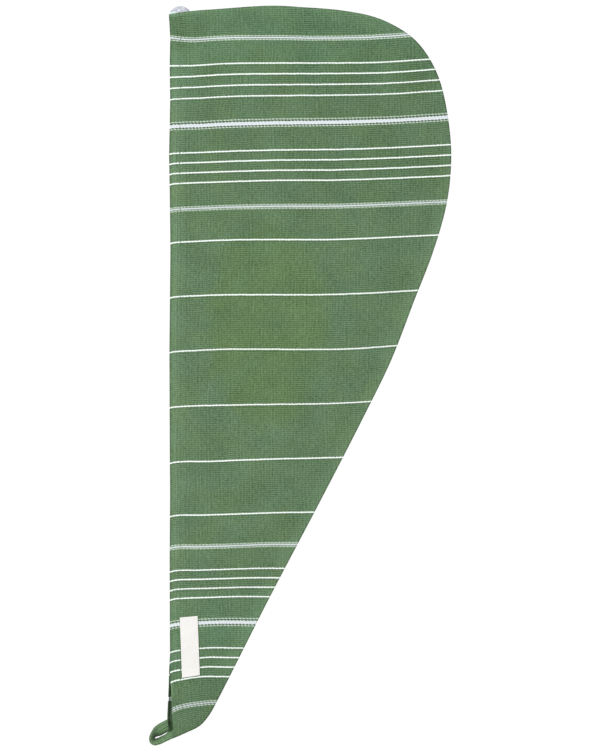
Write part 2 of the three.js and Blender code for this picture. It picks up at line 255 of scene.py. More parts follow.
# Thread, as tubes; a stitch tapers and dips towards its ends
UP = (0, 0, 1)
THREAD_SIDES = 8
STITCH_RINGS = 7
STITCH_DIP = 1.5
STITCH_TIP = 0.06
STITCH_PROUD = 0.4
STITCHED_HEM = (14.0, 639.0)
# Bars under the button, from hole to hole
BAR_STRANDS = (-0.42, 0, 0.42)
BAR_HEIGHT = 0.42
BAR_RADIUS = 0.24
# Legs through its holes, up to the cloth
LEG_STRANDS = 3
LEG_TURN = 2.1
LEG_SPREAD = 0.3
LEG_TAPER = 0.9
LEG_LOW = 0.5
LEG_HIGH = 3.5
LEG_RADIUS = 0.2
# Coil round the legs, over the button
COIL_RADIUS = 2.45
COIL_LOW = 3.42
COIL_RISE = 0.42
COIL_TURNS = 2.6
COIL_STEPS = 144
COIL_THREAD = 0.14
# Tack through the towel's top rim
TACK_STRANDS = 4
TACK_START = 7.4
TACK_PITCH = 0.42
TACK_INSET = 1.9
TACK_STAGGER = 0.15
TACK_LENGTH = 2.3
TACK_HEM_INSET = 5.0
TACK_PROUD = 0.1
TACK_RADIUS = 0.26

# Loop: one end goes under the back layer and the other between the layers.
LOOP_THICKNESS = 2.0
LOOP_ROUTE = [
    # x, y, z, tilt in degrees (outer edge up), width
    (10.0, 18.2, 1.1, 0, 9.6),
    (4.0, 15.0, 1.1, 0, 9.6),
    (-2.0, 11.6, 1.2, 0, 10.2),
    (-7.0, 9.0, 1.5, 3, 10.2),
    (-10.4, 6.8, 2.55, 16, 10.1),
    (-13.1, 4.8, 4.5, 46, 9.8),
    (-15.1, 2.6, 5.0, 64, 9.8),
    (-15.8, 0.4, 5.05, 67, 9.8),
    (-15.2, -1.8, 4.9, 63, 9.7),
    (-13.4, -2.85, 4.9, 61, 9.6),
    (-11.4, -2.45, 4.9, 61, 9.6),
    (-9.2, -1.8, 4.9, 61, 9.6),
    (-6.4, -0.4, 5.0, 61, 9.6),
    (-3.6, 0.9, 5.1, 60, 9.4),
    (-1.5, 2.1, 5.3, 54, 8.8),
    (-0.2, 3.0, 5.7, 33, 7.4),
    (1.0, 3.8, 5.4, 5, 6.6),
    (4.6, 5.8, 5.35, 0, 6.8),
    (11.2, 9.2, 5.35, 0, 7.2),
]
LOOP_WIDTH = LOOP_ROUTE[0][4]
LOOP_STEPS_PER_SPAN = 14
# Middle of the loop's bend, round which shade is painted on its inside
LOOP_BEND = (-12.0, 1.8)
LOOP_SLIT_DEPTH = 4.8
LOOP_SLIT_HALF = 0.09
LOOP_FOLD_START = 0.15
LOOP_FOLD_STEPS = 9
LOOP_LIFT = LOOP_THICKNESS + 2 * LAYER_GAP
LOOP_ROOM = LOOP_THICKNESS + 1.5 * LAYER_GAP
LOOP_ROOM_WIDE = (13, 40)
LOOP_ROOM_HIGH = (27, 66)
# Beside the loop's end the back layer rises to the front layer along their seam
BESIDE_LOOP = (13.5, 20)
CLOSED_NEAR_SEAM = (4, 16)

# Label, given by its four corners
LABEL_LOW = ((10.85, 54.2), (26.65, 56.5))
LABEL_HIGH = ((8.85, 107.9), (24.7, 109.3))
LABEL_THICKNESS = 0.6
# Its close rows, in from the rim, and the first inset and count of the even ones, across and along
LABEL_RIM = (0, 0.03, 0.12, 0.3, 0.6)
LABEL_FIELD = [(1.2, 15), (1.4, 44)]
# It is sewn down along its inner side, and lifts and curls a little beyond, by a reach and noise layer
LABEL_SEWN = 1.5
LABEL_GAP = 0.45
LABEL_LIFT = 0.35
LABEL_CURL = 0.12
LABEL_UNEVEN = (9, 3.3)

# Stage: floor and camera in metres, sensor in millimetres, the light's spread in degrees
FLOOR_REACH = 20.0
FARTHEST_SEEN = 200.0
SENSOR_WIDTH = 36.0
LIGHT_FROM = (-0.36, 0.42, 0.83)
LIGHT_SPREAD = 24

# A surface looks this many times as light as its own colour in the stage's light
LIGHT_LEVEL = 1.55
WHITE = (1.0, 1.0, 1.0)

# Fine sizes of the finishes: pitches in millimetres, reliefs and the floor's grain in metres
WARP_BAND_RATIO = 1.39
HEM_RIB_PITCH = 1.9
LOOP_PLEAT_PITCH = 3.1
TWIST_PITCH = 0.42
TWIST_RELIEF = 0.00008
TAPE_THREAD_PITCH = 0.8
TAPE_RELIEF = 0.00012
PEARL_RELIEF = 0.00004
GRAIN_SIZE = 0.125
# The towel's top edge over the button: its slope, and its height at the mouth line
CORNER_LINE = (0.144, 643.8)


def dye(red, green, blue):
    """A surface colour that looks like this 8-bit colour in the stage's light."""
    shares = (value / 255 for value in (red, green, blue))
    linear = (s / 12.92 if s <= 0.04045 else ((s + 0.055) / 1.055) ** 2.4 for s in shares)
    return tuple(value / LIGHT_LEVEL for value in linear)


def colour_setting(name, description, *shade):
    """A setting that holds a colour, given as it looks."""
    return FloatVectorProperty(name=name, description=description, subtype="COLOR", default=dye(*shade))


def length_setting(name, description, default):
    """A setting that holds a length in metres."""
    return FloatProperty(name=name, description=description, unit="LENGTH", default=default)


def strength_setting(name, description, default):
    """A setting that holds a light's strength."""
    return FloatProperty(name=name, description=description, min=0.0, default=default)


class ClothSettings(bpy.types.PropertyGroup):
    """Colours and threads of the striped cotton."""

    # These two greens give the weave's own tone, with painted light on the tops of the yarns and painted
    # shade in its hollows
    light_green: colour_setting("Light green", "Yarn on top of the weave", 128, 160, 121)
    dark_green: colour_setting("Dark green", "Hollows between the yarns", 44, 74, 40)
    white: colour_setting("White", "Weft of the thin stripes", 264, 271, 267)
    bluish: colour_setting("Bluish white", "Weft of the thick and faint stripes", 236, 243, 248)
    pale_green: colour_setting("Pale green", "Lines beside the thick stripes", 226, 242, 226)
    rib_pitch: length_setting("Rib pitch", "From one rib across the towel to the next", 0.00181)
    warp_pitch: length_setting("Warp pitch", "From one line along the towel to the next", 0.00265)
    dot_pitch: length_setting("Dot pitch", "From one dot of a stripe to the next", 0.00307)
    relief: length_setting("Relief", "Height of the woven ribs", 0.00022)


class SewingSettings(bpy.types.PropertyGroup):
    """Thread, stitches and label."""

    thread_green: colour_setting("Thread", "Green sewing thread", 116, 146, 110)
    stitch_pitch: length_setting("Stitch pitch", "From one stitch of the hem to the next", 0.0029)
    stitch_length: length_setting("Stitch length", "Length of one stitch", 0.0024)
    stitch_radius: length_setting("Stitch radius", "Half the thickness of the thread", 0.00027)
    label_cream: colour_setting("Label", "Cream cotton tape", 262, 261, 257)


class ButtonSettings(bpy.types.PropertyGroup):
    """The pearly button."""

    pearl: colour_setting("Pearl", "Pearly body", 222, 226, 234)
    pearl_shade: colour_setting("Pearl shade", "Darker clouds in the pearl", 188, 192, 206)
    # The dark vein is the dark streak of a reflection painted on the button
    streak_place: length_setting("Vein place", "Distance of the dark vein from the mouth line", 0.0076)


class StageSettings(bpy.types.PropertyGroup):
    """Camera, lights and floor."""

    camera_height: length_setting("Camera height", "Above the plane that keeps the plan's scale", 6.0)
    picture_height: length_setting("Picture height", "What the picture covers from top to bottom", 0.66675)
    daylight: strength_setting("Daylight", "Strength of the light from all round", 0.8)
    key_light: strength_setting("Key light", "Strength of the light from the top left", 2.8)
    floor_glow: strength_setting("Floor glow", "Light given off by the floor's lit panel", 1.0)


class Value:
    """A number that varies over a surface. Arithmetic on it adds Math nodes."""

    def __init__(self, finish, socket):
        self.finish = finish
        self.socket = socket

    def math(self, operation, *others):
        """A Math node's result for this value and any others."""
        sockets = dict(enumerate((self, *others)))
        node = self.finish.add("ShaderNodeMath", {"operation": operation}, sockets)
        return Value(self.finish, node.outputs[0])

    def __add__(self, other):
        return self.math("ADD", other)

    __radd__ = __add__

    def __mul__(self, other):
        return self.math("MULTIPLY", other)

    __rmul__ = __mul__

    def __sub__(self, other):
        return self.math("SUBTRACT", other)

    def __rsub__(self, other):
        return -1 * self + other

    def __truediv__(self, other):
        return self.math("DIVIDE", other)

    def size(self):
        """The value without its sign."""
        return self.math("ABSOLUTE")

    def least(self, other):
        return self.math("MINIMUM", other)

    def most(self, other):
        return self.math("MAXIMUM", other)

    def wave(self, pitch):
        """From -1 to 1 and back over each pitch."""
        return (self * (2 * math.pi / pitch)).math("COSINE")

    def rise(self, low, high, start=0.0, end=1.0):
        """A smooth rise from start at low to end at high."""
        sockets = {"Value": self, "From Min": low, "From Max": high, "To Min": start, "To Max": end}
        node = self.finish.add("ShaderNodeMapRange", {"interpolation_type": "SMOOTHSTEP"}, sockets)
        return Value(self.finish, node.outputs[0])

    def fall(self, low, high):
        """A smooth fall from 1 at low to 0 at high."""
        return self.rise(low, high, 1.0, 0.0)

    def band(self, half, soft):
        """1 within half of zero, falling to 0 over a soft edge."""
        return self.size().fall(half - soft / 2, half + soft / 2)


class Finish:
    """A material whose nodes are added by expressions."""

    def __init__(self, name, **constants):
        self.material = bpy.data.materials.new(name)
        self.material.use_nodes = True
        self.tree = self.material.node_tree
        self.shader = self.tree.nodes["Principled BSDF"]
        for socket, value in constants.items():
            self.shader.inputs[socket.replace("_", " ")].default_value = value

    def add(self, kind, settings=None, sockets=None):
        """A node of a kind, with its settings and then the values or links of its sockets."""
        node = self.tree.nodes.new(kind)
        for name, value in (settings or {}).items():
            setattr(node, name, value)
        for key, value in (sockets or {}).items():
            if isinstance(value, Value):
                value = value.socket
            if isinstance(value, bpy.types.NodeSocket):
                self.tree.links.new(value, node.inputs[key])
            else:
                node.inputs[key].default_value = value
        return node

    def measure(self, name):
        """A number kept with each point of the mesh, in millimetres."""
        node = self.add("ShaderNodeAttribute", {"attribute_name": name})
        return Value(self, node.outputs["Fac"]) / MM

    def surface_place(self, layer):
        """The two coordinates of a UV layer, in millimetres."""
        place = self.add("ShaderNodeUVMap", {"uv_map": layer})
        parts = self.add("ShaderNodeSeparateXYZ", sockets={0: place.outputs[0]})
        return Value(self, parts.outputs[0]) / MM, Value(self, parts.outputs[1]) / MM

    def frame_place(self):
        """The three coordinates of the frame, in metres."""
        place = self.add("ShaderNodeNewGeometry")
        parts = self.add("ShaderNodeSeparateXYZ", sockets={0: place.outputs["Position"]})
        return [Value(self, output) for output in parts.outputs]

    def plan_place(self):
        """The three coordinates of the towel's own plan, in millimetres."""
        return [value / MM - start for value, start in zip(self.frame_place(), (*PLAN_CORNER, 0.0))]

    def cloud(self, across, along, layer=0.0, detail=1.0):
        """Even noise from 0 to 1 over two values."""
        place = self.add("ShaderNodeCombineXYZ", sockets={0: across, 1: along, 2: layer})
        sockets = {"Vector": place.outputs[0], "Scale": 1.0, "Detail": detail}
        node = self.add("ShaderNodeTexNoise", sockets=sockets)
        return Value(self, node.outputs[0])

    def blend(self, share, first, second):
        """A colour between two colours."""
        ends = [c if isinstance(c, bpy.types.NodeSocket) else (*c, 1.0) for c in (first, second)]
        node = self.add("ShaderNodeMix", {"data_type": "RGBA"}, {0: share, 6: ends[0], 7: ends[1]})
        return node.outputs[2]

    def tint(self, colour, share, first, second):
        """A colour multiplied by a colour between two tints."""
        sockets = {0: 1.0, 6: colour, 7: self.blend(share, first, second)}
        node = self.add("ShaderNodeMix", {"data_type": "RGBA", "blend_type": "MULTIPLY"}, sockets)
        return node.outputs[2]

    def feed(self, socket, value):
        """Link a value or colour to one of the shader's sockets."""
        value = value.socket if isinstance(value, Value) else value
        self.tree.links.new(value, self.shader.inputs[socket])

    def set_relief(self, height, depth):
        """Raise the surface by a height times a depth in metres."""
        bump = self.add("ShaderNodeBump", sockets={"Height": height, "Distance": depth})
        self.feed("Normal", bump.outputs[0])


def stripe_offsets(height, kind):
    """Signed distance in millimetres from the nearest stripe of a kind, one for each group of them."""
    offsets = []
    for name, lowest, step, count in STRIPES:
        if name != kind:
            continue
        if count == 1:
            offsets.append(height - lowest)
            continue
        number = ((height - lowest) / step).math("ROUND").most(0).least(count - 1)
        offsets.append(height - number * step - lowest)
    return offsets


def strongest(values):
    """The greatest of some values at each place."""
    return reduce(Value.most, values)


def weave_tone(finish, across, along, cloth):
    """How light the weave looks, from 0 in the hollows to 1 on the slubs, and the weave's relief. Tone
    follows the relief, so the yarns' own uneven tone is mixed with painted shade in the hollows and
    painted light on the ribs.
    """
    rib, line = cloth.rib_pitch / MM, cloth.warp_pitch / MM
    drifted = along + finish.cloud(across / 30, along / 30, 3.1) * 1.2
    strayed = across + finish.cloud(across / 16, along / 40, 3.6) * 5
    weft_rib = drifted.wave(rib)
    warp_rib = strayed.wave(line)
    warp_band = strayed.wave(line * WARP_BAND_RATIO)
    weft_shows = finish.cloud(across / 14, along / 14, 8.0).rise(0.35, 0.65, 0.4, 1.0)
    warp_shows = 1.3 - weft_shows
    weft_slub = finish.cloud(across / 3, drifted / (rib / 2), 1.0)
    warp_slub = finish.cloud(across / (rib / 2), along / 6, 2.0)
    fibre = finish.cloud(across / 0.9, along / 0.9, 5.0)
    mottle = finish.cloud(across / 26, along / 26, 4.0, 3.0)
    tone = (
        0.5
        + weft_rib * weft_shows * 0.22
        + warp_rib * warp_shows * 0.09
        + warp_band * warp_shows * 0.045
        + (weft_slub - 0.5) * 0.7
        + (warp_slub - 0.5) * 0.45
        + (fibre - 0.5) * 0.6
        + (mottle - 0.5) * 0.36
    )
    relief = weft_rib * 0.3 + warp_rib * 0.25 + weft_slub * 0.8 + fibre * 0.2
    return tone, relief


def panel_tone(finish, across, along, seam):
    """What lightens or darkens the weave from place to place: a lighter hem and seam allowance, painted
    shade at the rim, beside the button and deep in the tail's gap, painted light on the tail's fold and
    the top seam, and other lighter and darker patches.
    """
    # Lighter along the hem and within the seam allowance
    hem = across.rise(0.6, 3.2) * across.rise(4.5, 7.0, 1.0, 0.6) * across.fall(9, 15)
    hem = hem * along.rise(40, 95) * along.rise(200, 420, 0.68, 1.0) * along.rise(500, 560, 1.0, 0.88)
    lighter_by_seam = seam.rise(8, 12, 0.08, 0.0) + seam.rise(1.0, 6.5, 0.07, 0.0)
    lighter_by_seam = lighter_by_seam * along.rise(20, 90) * along.rise(460, 560, 1.0, 0.35)
    # Painted shade on the cloth beside the button, where the corner it lifts slopes away from the light
    from_button_shade = finish.measure("button_shade")
    button_shade = from_button_shade.fall(9, 25) * seam.rise(1.5, 4.0)
    lighter_hem_and_seam = hem * (across.wave(HEM_RIB_PITCH) * 0.1 + 0.22) + lighter_by_seam
    tone = lighter_hem_and_seam * (1 - button_shade) - button_shade * 0.11

    # Painted shade along the rounded rim, where the cloth turns away from the light
    rim = across.least(seam).fall(0.5, 1.3) + seam.rise(0.6, 1.8, 0.5, 0.0)
    # Painted light on the front layer's fold beside the tail, which faces the light
    tail_fold_light = across.rise(0.0, 0.3) * across.fall(1.0, 1.8) * along.fall(52, 60)
    tail_fold_light = tail_fold_light * along.rise(40, 46, 0.2, 1.0)
    # Painted light along the top seam, which faces the light
    top_seam_light = seam.fall(1.2, 3.0) * along.rise(630, 640)
    # The back layer's upper face also gets painted shade deep in the gap beside the tail
    tone = tone - rim * 0.2 + tail_fold_light * 0.5 + top_seam_light * 0.12 - finish.measure("tail_gap_shade") * 0.55

    beside_button_shade = from_button_shade.fall(20, 50) * across.rise(12, 17)
    wide_end = across.rise(80, 130) * along.rise(455, 480)
    beside_label = along.rise(62, 100) * along.fall(122, 140) * across.rise(8, 17)
    above_tail = along.rise(20, 36) * along.fall(50, 62)
    return tone + beside_button_shade * 0.08 - wide_end * 0.045 + beside_label * 0.05 - above_tail * 0.06


def panel_green(finish, across, along, tone, cloth):
    """The two greens of the yarn, a little warmer or cooler from place to place."""
    green = finish.blend(tone, cloth.dark_green, cloth.light_green)
    hue = finish.cloud(across / 28, along / 28, 12.0, 2.0).rise(0.3, 0.7)
    green = finish.tint(green, hue, (1.025, 1.0, 0.93), (0.98, 1.0, 1.05))
    ends = along.rise(560, 610).most(along.fall(100, 150) * along.rise(35, 60))
    green = finish.tint(green, ends, WHITE, (0.94, 1.0, 1.0))
    middle_x, middle_y = (across - 88) / 56, (along - 368) / 92
    yellowed = (middle_x * middle_x + middle_y * middle_y).fall(0.6, 1.2)
    return finish.tint(green, yellowed, WHITE, (0.99, 1.0, 0.85))


def add_stripes(finish, across, along, green, cloth):
    """The woven stripes over the green, and the relief of their yarn."""
    staggered = across + along * 0.3 + finish.cloud(across / 4, along / 2, 14.0) * 1.6
    dots = staggered.wave(cloth.dot_pitch / MM).rise(-0.5, 0.5)
    wander = (finish.cloud(across / 11, along / 40, 6.0) - 0.5) * 0.5
    frayed = (finish.cloud(across / 0.9, along / 3, 7.0) - 0.5) * 0.5
    fuzz = finish.cloud(across / 1.2, along / 0.6, 9.0, 2.0).rise(0.3, 0.62)
    height = along + wander
    thin, faint, thick = (stripe_offsets(height, kind) for kind in ("thin", "faint", "thick"))

    thin_line = strongest([(d + frayed).band(0.5 + dots * 0.14, 0.4) for d in thin])
    thin_shade = strongest([(d + 1.6).band(0.5, 0.6) for d in thin])
    thick_band = strongest([(d + frayed - 0.02).band(1.36 + dots * 0.37, 0.4) for d in thick])
    thick_gaps = strongest([d.band(2.75, 0.5) for d in thick])
    thick_sides = strongest([((d - 0.25).size() - 3.2 + frayed).band(0.42, 0.4) for d in thick])
    faint_middle = strongest([(d + frayed).band(0.55, 0.4) for d in faint])
    faint_gaps = strongest([d.band(1.3, 0.4) for d in faint])
    faint_sides = strongest([(d.size() - 1.72 + frayed).band(0.4, 0.4) for d in faint])
    faint_floats = strongest([d.band(1.8, 0.4) for d in faint]) * finish.measure("inside")
    loose = (1 - dots) * along.rise(40, 70, 0.45, 0.0)

    layers = [
        # how much shows, its colour
        (thin_shade * 0.2, cloth.dark_green),
        (thick_gaps * 0.5, cloth.dark_green),
        (thick_gaps * dots * 0.12, cloth.pale_green),
        (thick_sides * (dots * 0.55 + 0.35), cloth.pale_green),
        (faint_gaps * 0.1, cloth.bluish),
        (faint_sides * (dots * 0.5 + 0.4), cloth.pale_green),
        (faint_middle * (fuzz * 0.15 + 0.85) * (1 - loose), cloth.bluish),
        (faint_floats, cloth.white),
        (thick_band * (fuzz * 0.1 + 0.9), cloth.bluish),
        (thin_line * (fuzz * 0.06 + 0.94), cloth.white),
    ]
    shown = green
    for share, yarn in layers:
        shown = finish.blend(share, shown, yarn)
    return shown, thin_line * 0.7 + thick_band * 0.4 + faint_middle * 0.4


def striped_cotton(name, cloth):
    """Sage green plain weave with woven white stripes."""
    finish = Finish(name, Roughness=0.93, Sheen_Weight=0.08, Sheen_Roughness=0.6, Specular_IOR_Level=0.2)
    across, along = finish.surface_place("cloth")
    seam = finish.measure("seam")
    tone, relief = weave_tone(finish, across, along, cloth)
    tone = tone + panel_tone(finish, across, along, seam)
    green = panel_green(finish, across, along, tone, cloth)
    shown, raised = add_stripes(finish, across, along, green, cloth)
    finish.feed("Base Color", shown)
    finish.set_relief(relief + raised, cloth.relief)
    return finish.material


def loop_cotton(name, cloth):
    """The same green cotton, folded into a strip, its threads running along it, with shade painted towards
    its fold and inside its bend.
    """
    finish = Finish(name, Roughness=0.92, Sheen_Weight=0.08, Sheen_Roughness=0.6, Specular_IOR_Level=0.2)
    across, along = finish.surface_place("cloth")
    tone, relief = weave_tone(finish, along, across, cloth)
    pleats = across.wave(LOOP_PLEAT_PITCH) * 0.16
    from_rim = finish.measure("rim")
    # A lift of the whole strip's tone, less painted shade over the half towards its fold, darkest at the
    # fold's edge
    tone_and_fold_shade = 0.2 - from_rim.rise(5.0, 9.4) * 0.45 - from_rim.rise(8.4, 9.3) * 0.3
    # Painted shade inside the loop's bend
    bend_shade = finish.measure("bend").fall(2.5, 5.0) * from_rim.rise(0.6, 1.6)
    tone = tone + pleats + tone_and_fold_shade - bend_shade * 0.3
    green = finish.blend(tone, cloth.dark_green, cloth.light_green)
    hue = finish.cloud(along / 12, across / 12)
    finish.feed("Base Color", finish.tint(green, hue, (1.06, 1.05, 0.98), (0.99, 1.06, 1.0)))
    finish.set_relief(relief, cloth.relief)
    return finish.material


def sewing_thread(name, sewing):
    """Matt twisted thread."""
    finish = Finish(name, Roughness=0.8, Sheen_Weight=0.1, Specular_IOR_Level=0.25)
    east, north, up = finish.plan_place()
    twist = (north + east * 0.8 + up * 0.8).wave(TWIST_PITCH)
    fibre = finish.cloud(east / 0.3, north / 0.3, 1.0, 2.0)
    # The twist's light and dark bands follow its relief: painted light and shade on the plies, over the
    # fibre's own speckle
    tone = 0.5 + twist * 0.25 + (fibre - 0.5) * 0.6
    dark = tuple(value * 0.6 for value in sewing.thread_green)
    light = tuple(value * 1.35 for value in sewing.thread_green)
    finish.feed("Base Color", finish.blend(tone, dark, light))
    finish.set_relief(twist, TWIST_RELIEF)
    return finish.material


def label_cotton(name, sewing):
    """Cream cotton tape in a close plain weave."""
    finish = Finish(name, Roughness=0.88, Sheen_Weight=0.1, Specular_IOR_Level=0.2)
    across, along = finish.surface_place("cloth")
    weft = along.wave(TAPE_THREAD_PITCH)
    warp = across.wave(TAPE_THREAD_PITCH)
    fibre = finish.cloud(across / 1.1, along / 0.5, 1.0, 3.0)
    mottle = finish.cloud(across / 9, along / 9, 2.0, 2.0)
    tone = 0.55 + weft * 0.12 + warp * 0.1 + (fibre - 0.5) * 0.7 + (mottle - 0.5) * 0.5
    shade = tuple(value * w for value, w in zip(sewing.label_cream, (0.84, 0.83, 0.82)))
    finish.feed("Base Color", finish.blend(tone, shade, sewing.label_cream))
    finish.set_relief(weft * 0.3 + warp * 0.3 + fibre, TAPE_RELIEF)
    return finish.material


def pearl_plastic(name, button):
    """Pearly polyester with soft clouds and a clear gloss, with a reflection painted above the cloth's
    edge and painted shade low on its rounded rim.
    """
    finish = Finish(name, IOR=1.45, Specular_IOR_Level=0.3, Coat_Weight=0.06, Coat_Roughness=0.2)
    east, north, up = finish.plan_place()
    swirl = finish.cloud(east / 6, north / 6, 1.0, 2.0)
    clouds = finish.cloud(east / 3 + swirl * 2, north / 9 + up * 0.2, 2.0, 3.0).rise(0.3, 0.7)
    body = finish.blend(clouds, button.pearl_shade, button.pearl)

    # A reflection is painted on the button just above the cloth's edge: light and dark streaks, a dark
    # band, a bright band and a glint
    slope, start = CORNER_LINE
    above_cloth = north - east * slope - start
    beyond_streak = east - button.streak_place / MM
    reflection_light_streak = (beyond_streak + 0.9).band(0.45, 0.4) * above_cloth.rise(2.2, 2.8)
    reflection_dark_streak = (beyond_streak - 0.2).band(0.6, 0.5) * above_cloth.rise(3.0, 3.5)
    reflection_dark_band = (above_cloth - 3.0).band(0.5, 0.5) * beyond_streak.fall(-1.8, -1.2)
    painted_bright_band = above_cloth.fall(1.6, 2.3) * beyond_streak.fall(-2.5, 0.5)
    spot_x, spot_y = beyond_streak - 0.3, above_cloth - 2.4
    painted_glint = (spot_x * spot_x + spot_y * spot_y).fall(0.6, 1.6)
    painted_light_and_shade = [
        # how much shows, what it multiplies the pearl by
        # Painted shade low on the rounded rim, which turns away from the light
        (up.fall(1.4, 2.8), (0.74, 0.74, 0.76)),
        (reflection_light_streak * 0.7, (1.2, 1.2, 1.2)),
        (painted_glint, (1.4, 1.5, 1.42)),
        (reflection_dark_streak.most(reflection_dark_band), (0.76, 0.76, 0.77)),
        (painted_bright_band, (1.26, 1.42, 1.3)),
    ]
    for share, factor in painted_light_and_shade:
        body = finish.tint(body, share, WHITE, factor)
    finish.feed("Base Color", body)
    finish.feed("Roughness", clouds * 0.12 + 0.4)
    finish.set_relief(finish.cloud(east / 1.5, north / 1.5, 4.0), PEARL_RELIEF)
    return finish.material


def lit_panel(name, stage):
    """A white panel lit from behind, so that nothing on it casts a shadow."""
    finish = Finish(
        name,
        Roughness=0.9,
        Specular_IOR_Level=0.0,
        Base_Color=(0.03, 0.03, 0.03, 1.0),
        Emission_Strength=stage.floor_glow,
    )
    east, north = finish.frame_place()[:2]
    grain = finish.cloud(east / GRAIN_SIZE, north / GRAIN_SIZE, 0.0, 2.0)
    finish.feed("Emission Color", finish.blend(grain, (0.99, 0.99, 0.99), WHITE))
    return finish.material


def smoothstep(value, low, high):
    """0 up to low, 1 from high on, and a smooth rise between them."""
    share = np.clip((np.asarray(value, float) - low) / (high - low), 0, 1)
    return share * share * (3 - 2 * share)


def fade(value, low, high):
    """1 up to low, 0 from high on, and a smooth fall between them."""
    return 1 - smoothstep(value, low, high)


def mix(start, end, share):
    """What lies a share of the way from start to end."""
    return start * (1 - share) + end * share


def lengths_along(points):
    """How far each point lies along the line through all of them."""
    gaps = np.linalg.norm(np.diff(points, axis=0), axis=1)
    return np.concatenate([[0], np.cumsum(gaps)])


def smooth_path(rows, steps):
    """Points along a centripetal curve through the rows, with the same number of steps in each span."""
    rows = np.array(rows, float)
    rows = np.vstack([2 * rows[0] - rows[1], rows, 2 * rows[-1] - rows[-2]])
    share = np.arange(steps)[:, None] / steps
    spans = []
    for before, start, end, after in zip(rows, rows[1:], rows[2:], rows[3:]):
        first, middle, last = (
            np.linalg.norm(b - a) ** 0.5 for a, b in ((before, start), (start, end), (end, after))
        )
        leave = (start - before) / first - (end - before) / (first + middle) + (end - start) / middle
        arrive = (end - start) / middle - (after - start) / (middle + last) + (after - end) / last
        leave, arrive = leave * middle, arrive * middle
        square = -3 * start + 3 * end - 2 * leave - arrive
        cube = 2 * start - 2 * end + leave + arrive
        spans.append(start + leave * share + square * share**2 + cube * share**3)
    return np.vstack([*spans, rows[-2:-1]])


class EdgeLine:
    """The towel's curved edge, read by the length along it."""

    def __init__(self, rows, steps):
        self.points = smooth_path(rows, steps)
        self.lengths = lengths_along(self.points)
        self.along = np.gradient(self.points, self.lengths, axis=0)

    def at(self, length, inset=0.0):
        """Places at a length along the edge, moved in from it by an inset."""
        x, y = (np.interp(length, self.lengths, self.points[:, axis]) for axis in (0, 1))
        east, north = (np.interp(length, self.lengths, self.along[:, axis]) for axis in (0, 1))
        scale = inset / np.hypot(east, north)
        return x - north * scale, y + east * scale

    def length_where(self, x, from_top, inset=0.0):
        """The length where the edge, moved in by an inset, passes an x near its start or near its end."""
        moved = self.at(self.lengths, inset)[0]
        turn = moved.argmax() + 1
        if from_top:
            return np.interp(x, moved[turn:][::-1], self.lengths[turn:][::-1])
        return np.interp(x, moved[:turn], self.lengths[:turn])


edge = EdgeLine(CURVED_EDGE, STEPS_PER_SPAN)
TAIL_TURN = edge.lengths[TAIL_TURN_ROW * STEPS_PER_SPAN]
SHOULDER = edge.lengths[SHOULDER_ROW * STEPS_PER_SPAN]


def mouth_x(y, layer):
    """The fold of one layer at a height."""
    rows = np.array(MOUTH_EDGE)
    return np.interp(y, rows[:, 0], rows[:, layer])


def mouth_corner_place(hem_inset, seam_inset, layer, at_top):
    """A place near a corner of the mouth, in from both of its sides."""
    corner = CURVED_EDGE[-1][1] if at_top else 0
    inward = -1 if at_top else 1
    x = mouth_x(corner + inward * seam_inset, layer) + hem_inset
    return x, edge.at(edge.length_where(x, at_top, seam_inset), seam_inset)[1]


